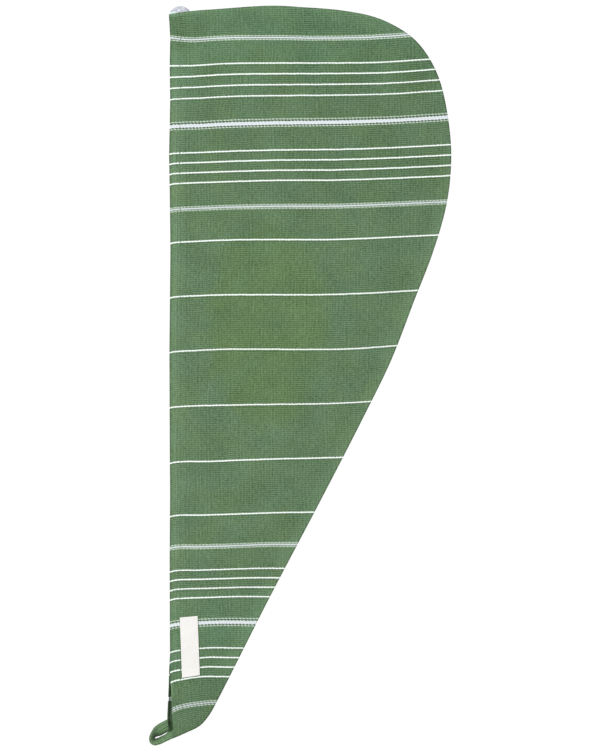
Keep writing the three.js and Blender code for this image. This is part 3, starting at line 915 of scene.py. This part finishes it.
def panel_plan(layer):
    """Plan places of a panel's grid: rows run from the tail upwards, columns from the mouth outwards."""
    hem_end, seam_end = len(HEM_INSETS) - 1, len(SEAM_INSETS) - 1
    columns = hem_end + FIELD_COLUMNS + seam_end
    rows = FIELD_ROWS + 2 * seam_end
    last_hem, last_seam = HEM_INSETS[-1], SEAM_INSETS[-1]

    def border_place(i, j):
        from_side, from_top = columns - i, rows - j
        row_share = (j - seam_end) / FIELD_ROWS
        at_top = from_top <= seam_end
        at_end = at_top or j <= seam_end
        end_inset = SEAM_INSETS[min(j, from_top)] if at_end else last_seam
        if i <= hem_end:
            if at_end:
                return mouth_corner_place(HEM_INSETS[i], end_inset, layer, at_top)
            ends = (mouth_corner_place(HEM_INSETS[i], last_seam, layer, top) for top in (False, True))
            low, high = (place[1] for place in ends)
            y = low + (high - low) * row_share
            return mouth_x(y, layer) + HEM_INSETS[i], y
        if from_side <= seam_end:
            inset = SEAM_INSETS[from_side]
            if at_end:
                length = SHOULDER + inset - end_inset if at_top else TAIL_TURN + end_inset - inset
                return edge.at(length, min(inset, end_inset))
            start, finish = TAIL_TURN + last_seam, SHOULDER - last_seam
            return edge.at(start + (finish - start) * row_share, inset)
        mouth_end = mouth_corner_place(last_hem, end_inset, layer, at_top)[0]
        start = edge.length_where(mouth_end, at_top, end_inset)
        finish = SHOULDER + last_seam if at_top else TAIL_TURN - last_seam
        column_share = (i - hem_end) / FIELD_COLUMNS
        return edge.at(start + (finish - start) * column_share, end_inset)

    grid = np.zeros((rows + 1, columns + 1, 2))
    near_side = [*range(hem_end + 1), *range(columns - seam_end, columns + 1)]
    near_end = [*range(seam_end + 1), *range(rows - seam_end, rows + 1)]
    for j in range(rows + 1):
        for i in range(columns + 1) if j in near_end else near_side:
            grid[j, i] = border_place(i, j)

    # The field between is filled in evenly from its four sides
    field = grid[seam_end : rows - seam_end + 1, hem_end : columns - seam_end + 1]
    u = (np.arange(field.shape[1]) / FIELD_COLUMNS)[None, :, None]
    v = (np.arange(field.shape[0]) / FIELD_ROWS)[:, None, None]
    left, right = field[:, :1], field[:, -1:]
    low, high = field[:1], field[-1:]
    corners = mix(mix(low[:, :1], low[:, -1:], u), mix(high[:, :1], high[:, -1:], u), v)
    field[:] = mix(left, right, u) + mix(low, high, v) - corners

    hem, side = np.full((2, columns + 1), FAR)
    ends = np.full(rows + 1, FAR)
    hem[: hem_end + 1] = HEM_INSETS
    side[columns - seam_end :] = SEAM_INSETS[::-1]
    ends[: seam_end + 1] = SEAM_INSETS
    ends[rows - seam_end :] = SEAM_INSETS[::-1]
    hem_inset = np.broadcast_to(hem, (rows + 1, columns + 1))
    seam_inset = np.minimum(side[None, :], ends[:, None])
    return grid[..., 0], grid[..., 1], hem_inset, seam_inset


def seam_stretches():
    """A search tree for each of the curved edge's three stretches."""
    ends = [0, TAIL_TURN, SHOULDER, edge.lengths[-1]]
    trees = []
    for start, finish in zip(ends, ends[1:]):
        points = np.transpose(edge.at(np.arange(start, finish + SEAM_STEP / 2, SEAM_STEP)))
        tree = KDTree(len(points))
        for number, (x, y) in enumerate(points):
            tree.insert((x, y, 0), number)
        tree.balance()
        trees.append(tree)
    return trees


stretches = seam_stretches()


def distance_to_seam(x, y):
    """Distance to the whole curved edge, rounded where its stretches are equally near."""
    places = list(zip(np.ravel(x), np.ravel(y)))
    total = sum(
        np.array([max(tree.find((a, b, 0))[2], NEAREST_SEAM) for a, b in places]) ** -SEAM_BLEND
        for tree in stretches
    )
    return (total ** (-1 / SEAM_BLEND)).reshape(np.shape(x))


def loop_presence(x, y):
    """1 over the loop's ends, falling to 0 away from the tail corner."""
    return fade(x, *LOOP_ROOM_WIDE) * fade(y, *LOOP_ROOM_HIGH)


def underside_height(x, y):
    """How far the towel is lifted by the button under one corner and by the loop under the other."""
    distance = np.hypot(x - BUTTON_CENTRE[0], y - BUTTON_CENTRE[1])
    return BUTTON_LIFT * fade(distance, LIFT_FLAT_RADIUS, LIFT_REACH) + LOOP_LIFT * loop_presence(x, y)


def uneven(x, y, reach, layer):
    """Smooth unevenness from -1 to 1 over a reach in millimetres."""
    places = zip(np.ravel(x) / reach, np.ravel(y) / reach)
    return np.array([noise.noise((a, b, layer)) for a, b in places]).reshape(np.shape(x))


def front_surface(x, y, hem_inset):
    """Height of the front layer's upper face."""
    seam = distance_to_seam(x, y)
    swell = np.sin(np.pi / 2 * np.minimum(1, seam / SWELL_REACH))
    sag = 1 - MOUTH_SAG * np.exp(-np.maximum(x, 0) / MOUTH_SAG_REACH)
    rise = POCKET_HEIGHT * swell * sag + LOOP_ROOM * loop_presence(x, y)
    bumps = sum(height * uneven(x, y, reach, layer) for height, reach, layer in FRONT_HANDLING)
    handled = smoothstep(seam, *HANDLED_FROM_SEAM) * bumps
    groove = -GROOVE_DEPTH * np.exp(-(((hem_inset - HEM_STITCH_INSET) / GROOVE_WIDTH) ** 2))
    return underside_height(x, y) + 2 * FOLDED_THICKNESS + LAYER_GAP + rise + handled + groove


def back_surface(x, y, hem_inset):
    """Height of the back layer's lower face, whose fold curls up beside the tail corner."""
    seam = distance_to_seam(x, y)
    height, reach, layer = BACK_HANDLING
    handled = smoothstep(seam, *HANDLED_FROM_SEAM) * (height + height * uneven(x, y, reach, layer))
    rise = LOOP_ROOM * loop_presence(x, y) * smoothstep(x, *BESIDE_LOOP) * fade(seam, *CLOSED_NEAR_SEAM)
    curled = smoothstep(y, *CURL_STARTS) * fade(y, *CURL_ENDS) * fade(hem_inset, *CURL_ACROSS)
    return underside_height(x, y) + handled + rise + CURL_HEIGHT * curled


def cloth_thickness(hem_inset, seam_inset):
    """Thick where the cloth is folded over, with a step down to the single layer."""
    in_hem = fade(hem_inset, HEM_WIDTH, HEM_INSETS[-1])
    in_seam = fade(seam_inset, SEAM_ALLOWANCE, SEAM_INSETS[-1])
    return CLOTH_THICKNESS + (FOLDED_THICKNESS - CLOTH_THICKNESS) * np.maximum(in_hem, in_seam)


def round_the_rim(top, bottom, inset):
    """Draws the two faces together over the last of the way to the rim, as a fold does."""
    half = (top - bottom) / 2
    middle = (top + bottom) / 2
    share = 1 - np.minimum(inset / half, 1)
    fullness = np.sqrt(1 - share * share)
    return middle + half * fullness, middle - half * fullness


def weft_drift(x, y):
    """How far above its woven height the weft lies, in the front layer."""
    table = np.array(WEFT_DRIFT)
    shares = np.array(DRIFT_SHARES)
    top = edge.points[:, 1].argmax() + 1
    width = np.interp(y, edge.points[:top, 1], edge.points[:top, 0])
    share = np.clip(x / np.maximum(width, LEAST_DRIFT_WIDTH), 0, 1)
    drifts = np.stack([np.interp(y, table[:, 0], column) for column in table[:, 1:].T], axis=-1)
    slopes = np.gradient(drifts, shares, axis=-1)
    span = np.clip(np.searchsorted(shares, share, side="right") - 1, 0, len(shares) - 2)

    def pick(values, column):
        return np.take_along_axis(values, column[..., None], axis=-1)[..., 0]

    length = shares[span + 1] - shares[span]
    t = (share - shares[span]) / length
    start, end = pick(drifts, span), pick(drifts, span + 1)
    leave, arrive = pick(slopes, span) * length, pick(slopes, span + 1) * length
    return (
        start * (2 * t**3 - 3 * t**2 + 1)
        + leave * (t**3 - 2 * t**2 + t)
        + end * (3 * t**2 - 2 * t**3)
        + arrive * (t**3 - t**2)
    )


def to_frame(points):
    """Millimetres of the plan into metres of the frame."""
    shifted = np.asarray(points, float) + (*PLAN_CORNER, 0)
    return shifted * MM


def new_object(name, data):
    """An object of the scene that holds a mesh, a light or a camera."""
    made = bpy.data.objects.new(name, data)
    bpy.context.scene.collection.objects.link(made)
    return made


def add_piece(name, points, faces, material, cloth_places=None, measures=None, sharp_angle=None):
    """A piece of the towel from points in plan millimetres, riding on the root body."""
    mesh = bpy.data.meshes.new(name)
    mesh.from_pydata(to_frame(points).tolist(), [], [list(map(int, face)) for face in faces])
    if mesh.validate() or not len(mesh.polygons):
        raise RuntimeError(f"{name} has no sound mesh")
    if cloth_places is not None:
        corner_points = np.zeros(len(mesh.loops), np.int32)
        mesh.loops.foreach_get("vertex_index", corner_points)
        places = (cloth_places[corner_points] * MM).astype(np.float32)
        mesh.uv_layers.new(name="cloth").data.foreach_set("uv", places.ravel())
    for measure, values in (measures or {}).items():
        kept = mesh.attributes.new(measure, "FLOAT", "POINT")
        kept.data.foreach_set("value", (values * MM).astype(np.float32))
    mesh.shade_smooth()
    if sharp_angle:
        mesh.set_sharp_from_angle(angle=math.radians(sharp_angle))
    mesh.materials.append(material)
    piece = new_object(name, mesh)
    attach(piece, "root")
    return piece


def by_face(upper, lower):
    """A closed sheet's values: its whole upper grid, then its lower grid inside the shared rim."""
    return np.concatenate([upper.ravel(), lower[1:-1, 1:-1].ravel()])


def sheet_places(across, along):
    """Where each point of a closed sheet lies on its own cloth."""
    return np.stack([by_face(across, across), by_face(along, along)], axis=-1)


def closed_sheet(top, bottom, x, y):
    """Points and faces of a closed sheet between two grids of heights that meet at the rim."""
    points = np.stack([by_face(x, x), by_face(y, y), by_face(top, bottom)], axis=-1)
    upper = np.arange(x.size).reshape(x.shape)
    under = upper.copy()
    inner = under[1:-1, 1:-1]
    inner[:] = x.size + np.arange(inner.size).reshape(inner.shape)

    def quads(grid, step):
        ring = [grid[:-1, :-1], grid[:-1, 1:], grid[1:, 1:], grid[1:, :-1]]
        return np.stack([part.ravel() for part in ring[::step]], axis=-1)

    return points, np.vstack([quads(upper, 1), quads(under, -1)])


def make_panel(name, layer, material):
    """One layer of the towel, hemmed at the mouth and turned in at the seam."""
    x, y, hem_inset, seam_inset = panel_plan(layer)
    thickness = cloth_thickness(hem_inset, seam_inset)
    across = x - mouth_x(y, layer)
    if layer == FRONT:
        top = front_surface(x, y, hem_inset)
        bottom = top - thickness
        drop = np.interp(y, *np.transpose(FOLD_DROP))
        drift = weft_drift(x, y) - drop * np.exp(-across / FOLD_DROP_REACH)
    else:
        bottom = back_surface(x, y, hem_inset)
        top = bottom + thickness
        drift = np.interp(y, *np.transpose(BACK_DRIFT))
    top, bottom = round_the_rim(top, bottom, np.minimum(hem_inset, seam_inset))
    points, faces = closed_sheet(top, bottom, x, y)
    seam = distance_to_seam(x, y)
    # Distance from the middle of the painted shade beside the button
    button_shade = np.hypot(x - BUTTON_SHADE_CENTRE[0], y - BUTTON_SHADE_CENTRE[1])
    nowhere, everywhere = np.zeros(x.shape), np.ones(x.shape)
    measures = {
        "seam": by_face(seam, seam),
        "button_shade": by_face(button_shade, button_shade),
        # Painted shade on the back layer's upper face, deep in the gap beside the tail
        "tail_gap_shade": by_face(fade(y, *TAIL_GAP_SHADE_UP_TO) if layer == BACK else nowhere, nowhere),
        "inside": by_face(nowhere, everywhere) if layer == FRONT else by_face(everywhere, nowhere),
    }
    places = sheet_places(across, y - drift)
    return add_piece(name, points, faces, material, places, measures)


def tube_faces(first, rings, sides):
    """Faces of a closed tube, given by its first point's number."""
    number = first + np.arange(rings * sides).reshape(rings, sides)
    after = np.roll(number, -1, axis=1)
    walls = np.stack([number[:-1], number[1:], after[1:], after[:-1]], axis=-1).reshape(-1, 4).tolist()
    return [*walls, number[0].tolist(), number[-1][::-1].tolist()]


def stitch_row(name, starts, ends, radius, material):
    """A mesh of short stitches, each a thin bead of thread whose ends dip into the cloth."""
    shares = np.linspace(0, 1, STITCH_RINGS)
    around = np.arange(THREAD_SIDES) * 2 * np.pi / THREAD_SIDES
    points, faces = [], []
    for start, end in zip(np.asarray(starts, float), np.asarray(ends, float)):
        along = end - start
        along /= np.linalg.norm(along)
        side = np.cross(along, UP)
        side /= np.linalg.norm(side)
        up = np.cross(side, along)
        faces += tube_faces(len(points), STITCH_RINGS, THREAD_SIDES)
        for share in shares:
            to_end = (2 * share - 1) ** 4
            centre = start + (end - start) * share - up * radius * STITCH_DIP * to_end
            girth = radius * math.sqrt(max(1 - to_end, STITCH_TIP))
            for angle in around:
                points.append(centre + (side * math.cos(angle) + up * math.sin(angle)) * girth)
    return add_piece(name, points, faces, material)


def settings():
    """The towel's settings in the open scene."""
    return bpy.context.scene.hair_towel


def material_once(name, make, group):
    """The material of this name, made from a group of settings when it is first asked for."""
    return bpy.data.materials.get(name) or make(name, group)


class TOWEL_OT_front_panel(bpy.types.Operator):
    """Make the striped front layer."""

    bl_idname = "towel.front_panel"
    bl_label = "Front Panel"

    def execute(self, context):
        material = material_once("Striped Cotton", striped_cotton, settings().cloth)
        piece = make_panel("front_cloth", FRONT, material)
        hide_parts("front_panel")
        return {"FINISHED"}


class TOWEL_OT_back_panel(bpy.types.Operator):
    """Make the striped back layer."""

    bl_idname = "towel.back_panel"
    bl_label = "Back Panel"

    def execute(self, context):
        material = material_once("Striped Cotton", striped_cotton, settings().cloth)
        piece = make_panel("back_cloth", BACK, material)
        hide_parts("back_panel")
        return {"FINISHED"}


class TOWEL_OT_hem_stitches(bpy.types.Operator):
    """Make the rows of stitches that hold the two hems."""

    bl_idname = "towel.hem_stitches"
    bl_label = "Hem Stitches"

    def execute(self, context):
        sewing = settings().sewing
        material = material_once("Sewing Thread", sewing_thread, sewing)
        radius = sewing.stitch_radius / MM
        starts = np.arange(*STITCHED_HEM, sewing.stitch_pitch / MM)
        for layer, name in ((FRONT, "front_hem_stitches"), (BACK, "back_hem_stitches")):
            rows = []
            for y in (starts, starts + sewing.stitch_length / MM):
                x = mouth_x(y, layer) + HEM_STITCH_INSET
                inset = np.full_like(x, HEM_STITCH_INSET)
                if layer == FRONT:
                    z = front_surface(x, y, inset)
                else:
                    z = back_surface(x, y, inset) + FOLDED_THICKNESS
                rows.append(np.stack([x, y, z + radius * STITCH_PROUD], axis=-1))
            stitch_row(name, *rows, radius, material)
        return {"FINISHED"}


def loop_section():
    """Outline of the folded strip at its full width: across it and through it, round from the slit."""
    half, deep, slit = LOOP_WIDTH / 2, LOOP_THICKNESS / 2, LOOP_SLIT_HALF
    leaf = [
        (half - LOOP_SLIT_DEPTH, 0),
        (half - LOOP_SLIT_DEPTH + 0.3, slit),
        (half - 0.5, slit),
        (half - 0.14, slit + 0.14),
        (half, deep * 0.55),
        (half - 0.12, deep * 0.84),
        (half - 0.45, deep),
        # groove of the stitch line
        (half - 1.2, deep),
        (half - 1.45, deep * 0.86),
        (half - 1.7, deep),
        # flat side, a little hollow
        (half - 3.0, deep),
        (0, deep * 0.97),
        (-half + 3.2, deep * 0.98),
        (-half + 1.6, deep),
    ]
    turns = np.linspace(LOOP_FOLD_START, math.pi - LOOP_FOLD_START, LOOP_FOLD_STEPS)
    fold = [(deep - half - deep * math.sin(turn), deep * math.cos(turn)) for turn in turns]
    return np.array(leaf + fold + [(wide, -thick) for wide, thick in leaf[:0:-1]])


class TOWEL_OT_loop(bpy.types.Operator):
    """Make the strip loop at the tail corner."""

    bl_idname = "towel.loop"
    bl_label = "Loop"

    def execute(self, context):
        material = material_once("Loop Cotton", loop_cotton, settings().cloth)
        rows = np.array(LOOP_ROUTE)
        centres = smooth_path(rows[:, :3], LOOP_STEPS_PER_SPAN)
        row_shares = np.linspace(0, len(rows) - 1, len(centres))
        tilts, widths = (np.interp(row_shares, np.arange(len(rows)), column) for column in rows[:, 3:].T)
        tilts = np.radians(tilts)[:, None]
        narrowing = (widths / LOOP_WIDTH)[:, None, None]
        travelled = lengths_along(centres)
        along = np.gradient(centres, axis=0)
        along[:, 2] = 0
        along /= np.linalg.norm(along, axis=1)[:, None]
        across = np.cross(along, UP) * np.cos(tilts) + np.array(UP) * np.sin(tilts)
        through = np.cross(across, along)
        section = loop_section()
        points = (
            centres[:, None]
            + across[:, None] * section[None, :, :1] * narrowing
            + through[:, None] * section[None, :, 1:]
        )
        shape = points.shape[:2]
        faces = tube_faces(0, *shape)
        places = np.stack(np.broadcast_arrays(lengths_along(section), travelled[:, None]), axis=-1)
        measures = {
            "rim": np.broadcast_to(LOOP_WIDTH / 2 - section[:, 0], shape).ravel(),
            "bend": np.hypot(points[..., 0] - LOOP_BEND[0], points[..., 1] - LOOP_BEND[1]).ravel(),
        }
        points, places = points.reshape(-1, 3), places.reshape(-1, 2)
        piece = add_piece("loop_strip", points, faces, material, places, measures)
        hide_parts("loop")
        return {"FINISHED"}


def worked_object(name, work):
    """An object with the mesh that was worked on, which is freed."""
    mesh = bpy.data.meshes.new(name)
    work.to_mesh(mesh)
    work.free()
    return new_object(name, mesh)


def button_disc():
    """The button's body, turned about its middle."""
    turned = bmesh.new()
    rings = []
    for radius, height in BUTTON_PROFILE:
        angles = np.arange(BUTTON_SEGMENTS if radius else 1) * 2 * np.pi / BUTTON_SEGMENTS
        ring = [(radius * math.cos(angle), radius * math.sin(angle), height) for angle in angles]
        rings.append([turned.verts.new(place) for place in ring])
    for low, high in zip(rings, rings[1:]):
        for k in range(BUTTON_SEGMENTS):
            after = (k + 1) % BUTTON_SEGMENTS
            places = (low, k), (high, k), (high, after), (low, after)
            corners = [ring[place % len(ring)] for ring, place in places]
            turned.faces.new(list(dict.fromkeys(corners)))
    bmesh.ops.recalc_face_normals(turned, faces=turned.faces)
    return worked_object("button_disc", turned)


def button_drills():
    """Four rods where the button's holes are."""
    drills = bmesh.new()
    for x in (-HOLE_SPREAD, HOLE_SPREAD):
        for y in (-HOLE_SPREAD, HOLE_SPREAD):
            made = bmesh.ops.create_cone(
                drills,
                cap_ends=True,
                segments=HOLE_SEGMENTS,
                radius1=HOLE_RADIUS,
                radius2=HOLE_RADIUS,
                depth=DRILL_LENGTH,
            )
            bmesh.ops.translate(drills, verts=made["verts"], vec=(x, y, 1))
    return worked_object("drills", drills)


class TOWEL_OT_button(bpy.types.Operator):
    """Make the pearly four-hole button."""

    bl_idname = "towel.button"
    bl_label = "Button"

    def execute(self, context):
        material = material_once("Pearl Plastic", pearl_plastic, settings().button)
        body, drill = button_disc(), button_drills()
        cut = body.modifiers.new("holes", "BOOLEAN")
        cut.operation = "DIFFERENCE"
        cut.object = drill
        cut.solver = "EXACT"
        evaluated = body.evaluated_get(bpy.context.evaluated_depsgraph_get())
        drilled = evaluated.to_mesh()
        if len(drilled.vertices) <= len(body.data.vertices):
            raise RuntimeError("the button's holes could not be cut")
        points = np.array([v.co for v in drilled.vertices]) + (*BUTTON_CENTRE, 0)
        faces = [list(face.vertices) for face in drilled.polygons]
        evaluated.to_mesh_clear()
        bpy.data.objects.remove(body)
        bpy.data.objects.remove(drill)
        piece = add_piece("pearl_button", points, faces, material, sharp_angle=40)
        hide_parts("button")
        return {"FINISHED"}


class TOWEL_OT_button_thread(bpy.types.Operator):
    """Make the threads through the button, the coil round them and the tack in the towel's corner."""

    bl_idname = "towel.button_thread"
    bl_label = "Button Thread"

    def execute(self, context):
        material = material_once("Sewing Thread", sewing_thread, settings().sewing)
        x, y = BUTTON_CENTRE
        holes = (-HOLE_SPREAD, HOLE_SPREAD)
        bars = [(y + row + strand, BAR_HEIGHT) for row in holes for strand in BAR_STRANDS]
        starts, ends = ([(x + side, *bar) for bar in bars] for side in holes)
        piece = stitch_row("button_thread_bars", starts, ends, BAR_RADIUS, material)
        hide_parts("button_thread")

        starts, ends = [], []
        for hole_x in holes:
            for hole_y in holes:
                for strand in range(LEG_STRANDS):
                    turn = strand * LEG_TURN
                    lean_x, lean_y = LEG_SPREAD * math.cos(turn), LEG_SPREAD * math.sin(turn)
                    starts.append((x + hole_x + lean_x, y + hole_y + lean_y, LEG_LOW))
                    high_x, high_y = x + hole_x * LEG_TAPER + lean_x, y + hole_y * LEG_TAPER + lean_y
                    ends.append((high_x, high_y, LEG_HIGH))
        stitch_row("button_thread_legs", starts, ends, LEG_RADIUS, material)

        points = []
        for k in range(COIL_STEPS + 1):
            angle = k / COIL_STEPS * COIL_TURNS * 2 * math.pi
            out = np.array([math.cos(angle), math.sin(angle), 0])
            centre = (x, y, COIL_LOW + COIL_RISE * k / COIL_STEPS) + out * COIL_RADIUS
            for side in range(THREAD_SIDES):
                turn = side * 2 * math.pi / THREAD_SIDES
                outward = out * math.cos(turn) + np.array(UP) * math.sin(turn)
                points.append(centre + outward * COIL_THREAD)
        faces = tube_faces(0, COIL_STEPS + 1, THREAD_SIDES)
        add_piece("button_thread_shank", points, faces, material)

        starts, ends = [], []
        for strand in range(TACK_STRANDS):
            across = TACK_START + strand * TACK_PITCH
            rim = edge.at(edge.length_where(across, True))[1]
            low = rim - TACK_INSET + TACK_STAGGER * (strand % 2)
            for row, bucket in ((low, starts), (low + TACK_LENGTH, ends)):
                height = front_surface(*np.array([[across], [row], [TACK_HEM_INSET]]))[0]
                bucket.append((across, row, height + TACK_PROUD))
        stitch_row("corner_tack", starts, ends, TACK_RADIUS, material)
        return {"FINISHED"}


class TOWEL_OT_label(bpy.types.Operator):
    """Make the bare cloth label beside the hem."""

    bl_idname = "towel.label"
    bl_label = "Label"

    def execute(self, context):
        material = material_once("Label Cotton", label_cotton, settings().sewing)
        (low_left, low_right), (high_left, high_right) = np.array([LABEL_LOW, LABEL_HIGH])
        width = np.linalg.norm(low_right - low_left)
        length = np.linalg.norm(high_left - low_left)
        rim = np.array(LABEL_RIM)
        rows = (
            np.concatenate([rim, np.linspace(inset, size - inset, count), size - rim[::-1]])
            for size, (inset, count) in zip((width, length), LABEL_FIELD)
        )
        u, v = np.meshgrid(*rows)
        s, t = (u / width)[..., None], (v / length)[..., None]
        plan = mix(mix(low_left, low_right, s), mix(high_left, high_right, s), t)
        x, y = plan[..., 0], plan[..., 1]
        free = smoothstep(u, LABEL_SEWN, width)
        bottom = front_surface(x, y, np.full_like(x, FAR)) + LABEL_GAP
        bottom = bottom + LABEL_LIFT * free + LABEL_CURL * uneven(x, y, *LABEL_UNEVEN) * free
        inset = np.minimum(np.minimum(u, width - u), np.minimum(v, length - v))
        top, bottom = round_the_rim(bottom + LABEL_THICKNESS, bottom, inset)
        points, faces = closed_sheet(top, bottom, x, y)
        piece = add_piece("label_tape", points, faces, material, sheet_places(u, v))
        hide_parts("label")
        return {"FINISHED"}


class TOWEL_OT_stage(bpy.types.Operator):
    """Make the floor, the lights and the camera."""

    bl_idname = "towel.stage"
    bl_label = "Stage"

    def execute(self, context):
        scene = bpy.context.scene
        stage = settings().stage
        reach = FLOOR_REACH
        corners = [(-reach, -reach, 0), (reach, -reach, 0), (reach, reach, 0), (-reach, reach, 0)]
        mesh = bpy.data.meshes.new("floor")
        mesh.from_pydata(corners, [], [(0, 1, 2, 3)])
        mesh.materials.append(lit_panel("Lit Panel", stage))
        new_object("floor", mesh)

        world = bpy.data.worlds.new("daylight")
        world.use_nodes = True
        background = world.node_tree.nodes["Background"]
        background.inputs["Color"].default_value = (*WHITE, 1.0)
        background.inputs["Strength"].default_value = stage.daylight
        scene.world = world

        lamp = bpy.data.lights.new("key_light", "SUN")
        lamp.energy = stage.key_light
        lamp.angle = math.radians(LIGHT_SPREAD)
        light = new_object("key_light", lamp)
        light.rotation_euler = Vector(LIGHT_FROM).to_track_quat("Z", "Y").to_euler()

        lens = bpy.data.cameras.new("camera")
        lens.sensor_fit = "AUTO"
        lens.sensor_width = SENSOR_WIDTH
        lens.lens = SENSOR_WIDTH * stage.camera_height / stage.picture_height
        lens.clip_end = FARTHEST_SEEN
        camera = new_object("camera", lens)
        camera.location = to_frame((*PICTURE_CENTRE, SCALE_PLANE)) + (0, 0, stage.camera_height)
        scene.camera = camera
        scene.view_settings.view_transform = "Standard"
        scene.view_settings.look = "None"
        return {"FINISHED"}


class HairTowelSettings(bpy.types.PropertyGroup):
    """All the towel's settings."""

    cloth: PointerProperty(type=ClothSettings)
    sewing: PointerProperty(type=SewingSettings)
    button: PointerProperty(type=ButtonSettings)
    stage: PointerProperty(type=StageSettings)


OPERATORS = (
    TOWEL_OT_back_panel,
    TOWEL_OT_front_panel,
    TOWEL_OT_hem_stitches,
    TOWEL_OT_loop,
    TOWEL_OT_button,
    TOWEL_OT_button_thread,
    TOWEL_OT_label,
    TOWEL_OT_stage,
)


class TOWEL_PT_panel(bpy.types.Panel):
    """The towel's pieces and settings."""

    bl_idname = "TOWEL_PT_panel"
    bl_label = "Hair Towel"
    bl_space_type = "VIEW_3D"
    bl_region_type = "UI"
    bl_category = "Hair Towel"

    def draw(self, context):
        groups = context.scene.hair_towel
        for group in (groups.cloth, groups.sewing, groups.button, groups.stage):
            box = self.layout.box()
            for name in group.__annotations__:
                box.prop(group, name)
        for operator in OPERATORS:
            self.layout.operator(operator.bl_idname)


CLASSES = (
    ClothSettings,
    SewingSettings,
    ButtonSettings,
    StageSettings,
    HairTowelSettings,
    *OPERATORS,
    TOWEL_PT_panel,
)


def register():
    for item in CLASSES:
        bpy.utils.register_class(item)
    bpy.types.Scene.hair_towel = PointerProperty(type=HairTowelSettings)


def unregister():
    del bpy.types.Scene.hair_towel
    for item in reversed(CLASSES):
        bpy.utils.unregister_class(item)


def main():
    register()
    bpy.ops.towel.back_panel()
    bpy.ops.towel.front_panel()
    bpy.ops.towel.hem_stitches()
    bpy.ops.towel.loop()
    bpy.ops.towel.button()
    bpy.ops.towel.button_thread()
    bpy.ops.towel.label()
    bpy.ops.towel.stage()


if __name__ == "__main__":
    main()
